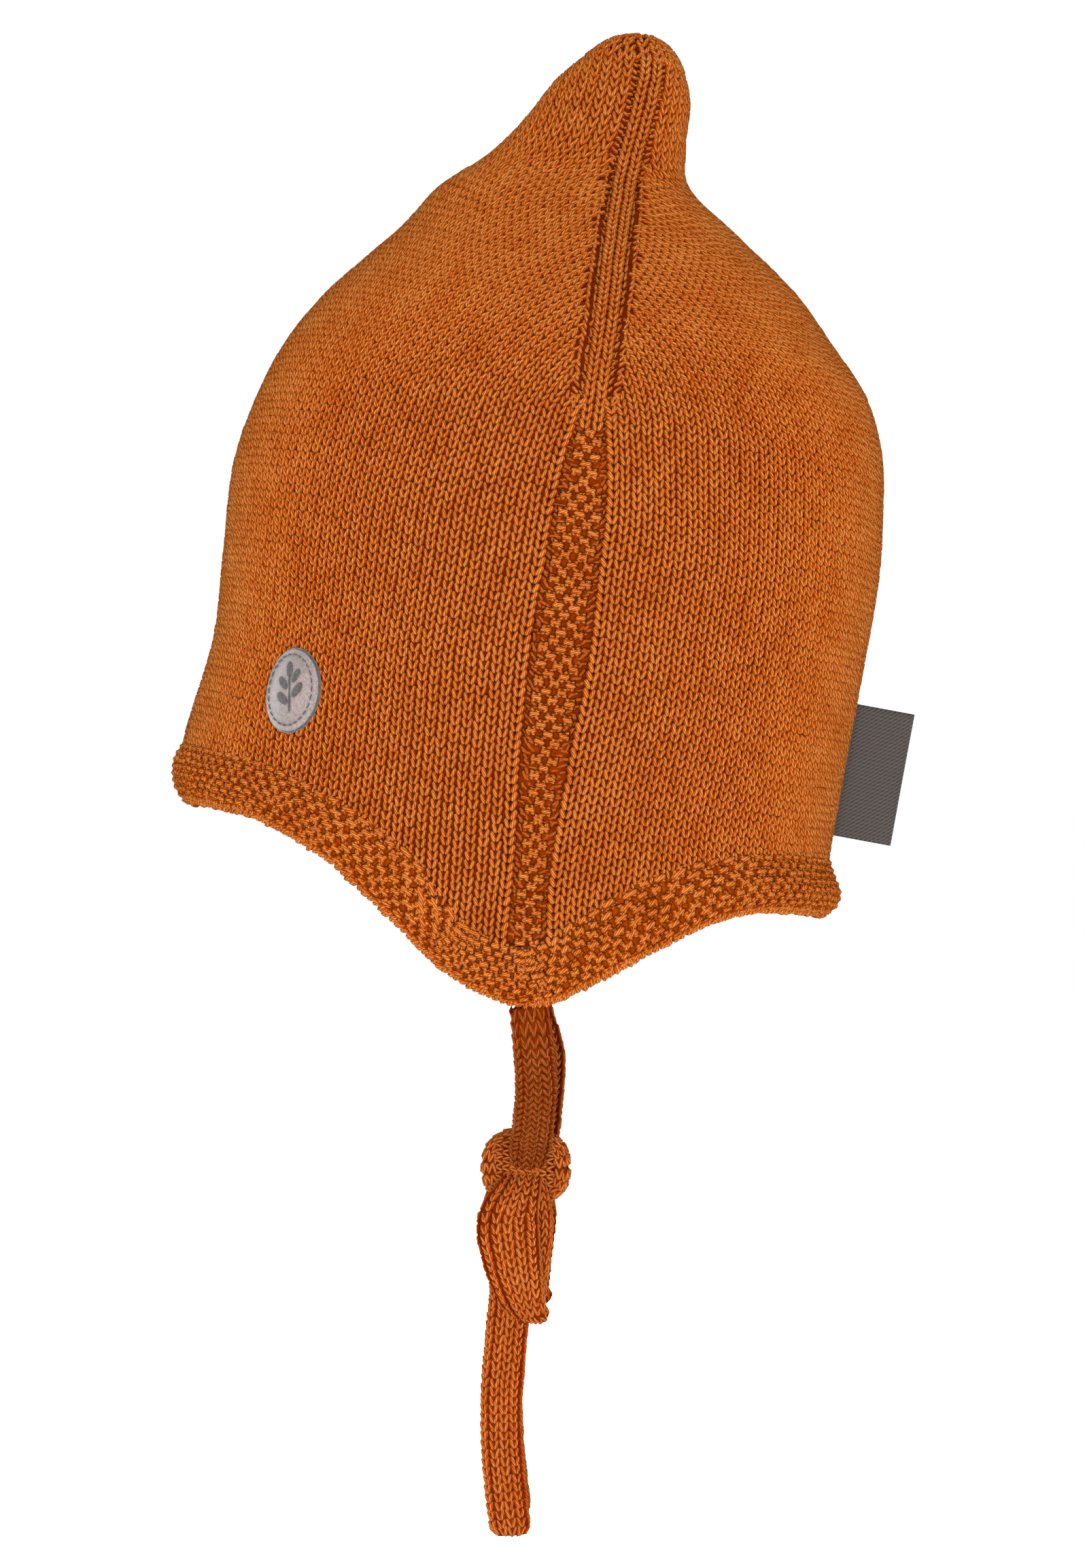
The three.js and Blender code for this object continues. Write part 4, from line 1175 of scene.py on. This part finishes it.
class Strap:
    """One run of a tie: a flat tube along a curve."""

    def __init__(self, rows):
        centre, at = curve_through(rows[:, :3], 400)
        number = np.arange(len(rows), dtype=float)
        turn = np.radians(smooth(number, rows[:, 3], at))
        self.centre = centre + KNOT
        self.length = lengths_along(centre)
        along = unit(np.gradient(centre, axis=0))
        across = np.stack([np.sin(turn), np.cos(turn), np.zeros_like(turn)], axis=-1)
        across = unit(across - along * np.sum(across * along, axis=1, keepdims=True))
        self.across, self.through = across, np.cross(along, across)
        self.wide = smooth(number, rows[:, 4], at)
        self.thick = smooth(number, rows[:, 5], at)

    def place(self, girth, along, out):
        """A point of the strap's face, girth millimetres round it and along millimetres down it."""
        girth, along, out = np.broadcast_arrays(girth, along, out)
        pick = lambda table: np.stack([np.interp(along, self.length, table[:, n]) for n in range(3)], axis=-1)
        turn = np.interp(np.mod(girth, SECTION_GIRTH[-1]), SECTION_GIRTH, SECTION_TURN)
        x, y = flat_oval(turn)
        half = 0.5 * STRAP_WIDTH * np.interp(along, self.length, self.wide) + out
        deep = 0.5 * STRAP_THICK * np.interp(along, self.length, self.thick) + out
        return (pick(self.centre) + pick(self.across) * (half * x)[..., None]
                + pick(self.through) * (deep * y)[..., None])


def ring_place(girth, along, out):
    """The knot's ring: along runs round it, and girth round its own section."""
    girth, along, out = np.broadcast_arrays(girth, along, out)
    turn = along / RING_RADIUS
    cos, sin, middle = np.cos(turn), np.sin(turn), np.zeros_like(turn)
    high, deep = RING["along_y"], RING["along_z"]
    centre = np.stack([middle, high * squarish(cos, 0.8), deep * squarish(sin, 0.8)], axis=-1)
    away = unit(np.stack([middle, cos / high, sin / deep], axis=-1))
    section = 2 * math.pi * girth / RING_GIRTH
    point = centre + away * ((RING["half_thick"] + out) * np.sin(section))[..., None]
    point[..., 0] += (RING["half_width"] + out) * np.cos(section)
    return point + KNOT


def core_place(girth, along, out):
    """The wad in the knot's middle, from one side to the other: girth runs round its section."""
    girth, along, out = np.broadcast_arrays(girth, along, out)
    section = 2 * math.pi * girth / CORE_GIRTH
    x = along - CORE_LENGTH / 2
    narrow = np.sqrt(np.clip(1 - (x / CORE["reach"]) ** 4, 0.02, 1))
    y = CORE["along_y"] * narrow + out
    z = CORE["along_z"] * narrow + out
    return np.stack([x, y * np.cos(section), CORE["raised"] + z * np.sin(section)], axis=-1) + KNOT


def wrap_place(across, along, out):
    """The turn of strap that crosses the knot's near face, from its front lobe to its back one."""
    across, along, out = np.broadcast_arrays(across, along, out)
    fall = WRAP["falls"] * (along / WRAP["reach"]) ** 2
    roll = WRAP["rolls"] * (across / WRAP["half_width"]) ** 2
    x = WRAP["near"] - fall - roll + out
    z = WRAP["raised"] - across - WRAP["slants"] * along
    return np.stack([x, along, z], axis=-1) + KNOT


def add_tube_ground(ground, place, girth, length):
    """Adds the plain tube below a strap's stitches to the grounds of a tie."""
    bm = mapped_grid(20, int(length / 0.8), lambda u, v: place(u * girth, v * length, -YARN_DEPTH))
    bmesh.ops.holes_fill(bm, edges=[edge for edge in bm.edges if edge.is_boundary], sides=0)
    bmesh.ops.recalc_face_normals(bm, faces=bm.faces)
    tube = mesh_from(bm, "tube")
    ground.from_mesh(tube)
    bpy.data.meshes.remove(tube)


def knit_tube(yarn, place, girth, length, knit, points_down):
    """Plain knit all round a tube, larger where the tube is stretched. None is laid inside a tight bend."""
    wales, count = knit[0], round(length / knit[1])
    wale, course = girth / wales, length / count
    across, along = map(np.ravel, np.meshgrid(np.arange(wales) * wale, (np.arange(count) + 0.5) * course))
    face, core = (steps_of(place, across, along, out)[1] for out in (0.0, -STRAP_THICK / 3))
    kept = np.sum(face * core, axis=-1) > 0.06
    across, along = across[kept], along[kept]
    wide, long = stretch_of(place, across, along, 1.4)
    course = course * np.minimum(long, 1.15)
    bend = bend_of(place, across, along)
    knit_stitches(yarn, place, across, along, wale * wide, course, -0.1, points_down, tight=0.5, bend=bend)


def knit_a_tie(side, hand, seed):
    """One tie: the grounds of its runs in one mesh, and the stitches on them in two more."""
    chin, bow = Yarn(seed), Yarn(seed + 5)
    tubes = []
    for yarn, run, knit in zip((chin, bow, bow), tie_runs(side), (CHIN_KNIT, LOOP_KNIT, END_KNIT)):
        strap = Strap(run)
        tubes.append((yarn, strap.place, SECTION_GIRTH[-1], strap.length[-1], knit, False))
    if side < 0:
        tubes.append((bow, ring_place, RING_GIRTH, RING_LENGTH, RING_KNIT, True))
        tubes.append((bow, core_place, CORE_GIRTH, CORE_LENGTH, CORE_KNIT, True))
    ground = bmesh.new()
    for tube in tubes:
        add_tube_ground(ground, *tube[1:4])
        knit_tube(*tube)
    if side > 0:
        across, along = np.meshgrid(np.arange(-3, 3) * WRAP_WALE, np.arange(-6.2, 6.3, WRAP_WALE))
        knit_stitches(bow, wrap_place, across.ravel(), along.ravel(), WRAP_WALE, WRAP_WALE)
    finish_shell(f"tie_ground_{hand}", ground, [RUST_GROUND], [f"tie_{hand}"])
    # The near tie's chin run takes the darker copy of the rust: painted shade.
    chin.finish(f"tie_chin_knit_{hand}", SHADED_RUST if side > 0 else RUST, "rust_knit")
    bow.finish(f"tie_bow_knit_{hand}", RUST, "rust_knit")


# The felt badge on the left of the forehead.
BADGE = {"around": math.radians(46), "height": 28.5, "half_width": 7.6, "half_height": 9.4}
BADGE_TURN = math.radians(18)
BADGE_BACK, BADGE_FACE = 0.3, 1.5
SOFT_EDGE = 0.35

# The sprig's two lengths of stem and its leaves: x, y, slant in degrees, width and length.
SPRIG = [
    (0, -2.6, 0, 0.7, 5.2), (0, 1.6, 0, 0.7, 5.0), (-2.0, -1.6, -48, 2.1, 4.0), (2.0, -0.4, 48, 2.1, 4.0),
    (-1.8, 1.8, -38, 1.9, 3.7), (1.7, 2.8, 38, 1.9, 3.5), (0, 4.5, 0, 2.0, 3.7),
]


def badge_place(x, y, out):
    """A point of the badge, x towards the wearer's left and y up it."""
    cos, sin = math.cos(BADGE["around"]), math.sin(BADGE["around"])
    height = BADGE["height"]
    run = math.hypot(reach_at(cos, height) * sin, smooth(LEVEL, SIDE, height) * cos)
    level = x * math.cos(BADGE_TURN) - y * math.sin(BADGE_TURN)
    rise = y * math.cos(BADGE_TURN) + x * math.sin(BADGE_TURN)
    return hat_point(BADGE["around"] + level / run, height + rise, out)


def badge_oval(name, trim, low, high, material, stands_for=()):
    """An oval of felt, bent to the crown's curve, with a softened edge."""
    bm = bmesh.new()
    bmesh.ops.create_circle(bm, cap_ends=True, cap_tris=False, segments=64, radius=1)
    for inner in (0.025, 0.12, 0.27, 0.27):
        centre = [face for face in bm.faces if len(face.verts) > 4]
        bmesh.ops.inset_region(bm, faces=centre, thickness=inner, use_even_offset=True)
    bmesh.ops.poke(bm, faces=[face for face in bm.faces if len(face.verts) > 4])
    x, y = np.array([vert.co[:2] for vert in bm.verts]).T
    out = high - np.where(np.hypot(x, y) > 0.99, SOFT_EDGE, 0)
    move_corners(bm, badge_place(x * (BADGE["half_width"] - trim), y * (BADGE["half_height"] - trim), out))
    finish_shell(name, bm, [material], stands_for, high - low - SOFT_EDGE)


def make_badge():
    """A pale oval on a slightly larger dark one, with a ring of running stitches and a sprig."""
    badge_oval("badge_backing", 0, BADGE_BACK, 0.95, BADGE_DARK, ["badge"])
    badge_oval("badge_face", 0.45, 0.7, BADGE_FACE, BADGE_FELT)
    place = lambda across, along, out: badge_place(across, along, BADGE_FACE + out)
    ring = Yarn(70)
    turn = np.arange(0, 2 * math.pi, 2 * math.pi / 26)
    x, y = (BADGE["half_width"] - 1.6) * np.sin(turn), (BADGE["half_height"] - 1.6) * np.cos(turn)
    ring.lay(BUMP, place, x, y, turn + QUARTER, (0.42, 1.55, 0.4), 0.2, 0.1)
    ring.finish("badge_stitches", BADGE_DARK, "badge_felt")
    sprig = Yarn(71)
    x, y, tilt, width, length = np.array(SPRIG).T
    sprig.lay(Grain(12, 8), place, x, y, np.radians(tilt), (width, length, 0.5), 0.05, 0.05)
    sprig.finish("badge_sprig", BADGE_DARK, "badge_felt")


# The ribbon tab in the back seam.
TAB = {"low": 19.1, "high": 49.6, "reach": 13.0, "thick": 1.1}


def make_tab():
    """A loop of woven ribbon pressed flat, its fold a little rounder than its sides."""
    half = TAB["thick"] / 2
    root = AXIS_BEHIND + smooth(LEVEL, BACK, (TAB["low"] + TAB["high"]) / 2) - 0.6
    reach = TAB["reach"] + 0.9

    def place(u, v):
        run = (2 * reach + math.pi * half) * u
        turn = np.clip((run - reach) / half, 0, math.pi)
        y = np.where(run < reach, run, np.where(turn >= math.pi, 2 * reach + math.pi * half - run, reach))
        y = y + half * np.sin(turn) * (turn < math.pi)
        height = TAB["low"] + (TAB["high"] - TAB["low"]) * v
        puff = 0.16 * np.sin(y / 4.1 + height / 6.0)
        wave = 0.22 * np.sin(height / 7.5 + 0.6) * y / reach
        return lean_back(half * np.cos(turn) * 0.62 + puff + wave, root + y, height - SEAT_HEIGHT)

    bm = mapped_grid(48, 32, place)
    bmesh.ops.recalc_face_normals(bm, faces=bm.faces)
    finish_shell("tab_ribbon", bm, [TAPE], ["back_tab"], 0.32)


FLOOR_LEVEL = -0.36
AIM = Vector((0, 0, -0.1))

# Lamps: name, place, width and power.
LAMPS = (
    ("key", (1.15, -0.03, -0.2), 0.45, 27.0),
    ("far", (-1.15, -0.03, -0.2), 0.45, 20.0),
    ("fill", (0.5, 1.0, 0.0), 0.8, 2.0),
)


def light_the_studio():
    """A plain pale floor, an even pale surround and three large soft lamps."""
    scene = bpy.context.scene
    world = bpy.data.worlds.new("studio")
    world.use_nodes = True
    world.node_tree.nodes["Background"].inputs["Color"].default_value = (1, 1, 1, 1)
    world.node_tree.nodes["Background"].inputs["Strength"].default_value = 1.02
    scene.world = world
    scene.view_settings.view_transform = "Standard"
    bm = bmesh.new()
    bmesh.ops.create_grid(bm, x_segments=1, y_segments=1, size=30)
    bmesh.ops.translate(bm, verts=bm.verts, vec=(0, 0, FLOOR_LEVEL))
    floor = bpy.data.objects.new("floor", mesh_from(bm, "floor"))
    material, s, spot = new_material("pale_floor")
    shader = material.node_tree.nodes["Principled BSDF"]
    s.put(shader.inputs["Base Color"], s.ramp(s.noise(spot, 3.0), 0, 1, (0.97, 0.97, 0.97), (1.0, 1.0, 1.0)))
    s.put(shader.inputs["Roughness"], 0.9)
    s.put(shader.inputs["Specular IOR Level"], 0.0)
    floor.data.materials.append(material)
    scene.collection.objects.link(floor)
    for name, place, size, power in LAMPS:
        lamp = bpy.data.lights.new(name, "AREA")
        lamp.shape = "DISK"
        lamp.size = size
        lamp.energy = power
        holder = bpy.data.objects.new(name, lamp)
        holder.location = place
        holder.rotation_euler = (Vector(place) - AIM).to_track_quat("Z", "Y").to_euler()
        scene.collection.objects.link(holder)


crown_ground()
for side, hand in HANDS:
    band_ground(side, hand)
border_ground()
knit_the_hat()
for seed, (side, hand) in enumerate(HANDS, 60):
    knit_a_tie(side, hand, seed)
make_badge()
make_tab()
light_the_studio()
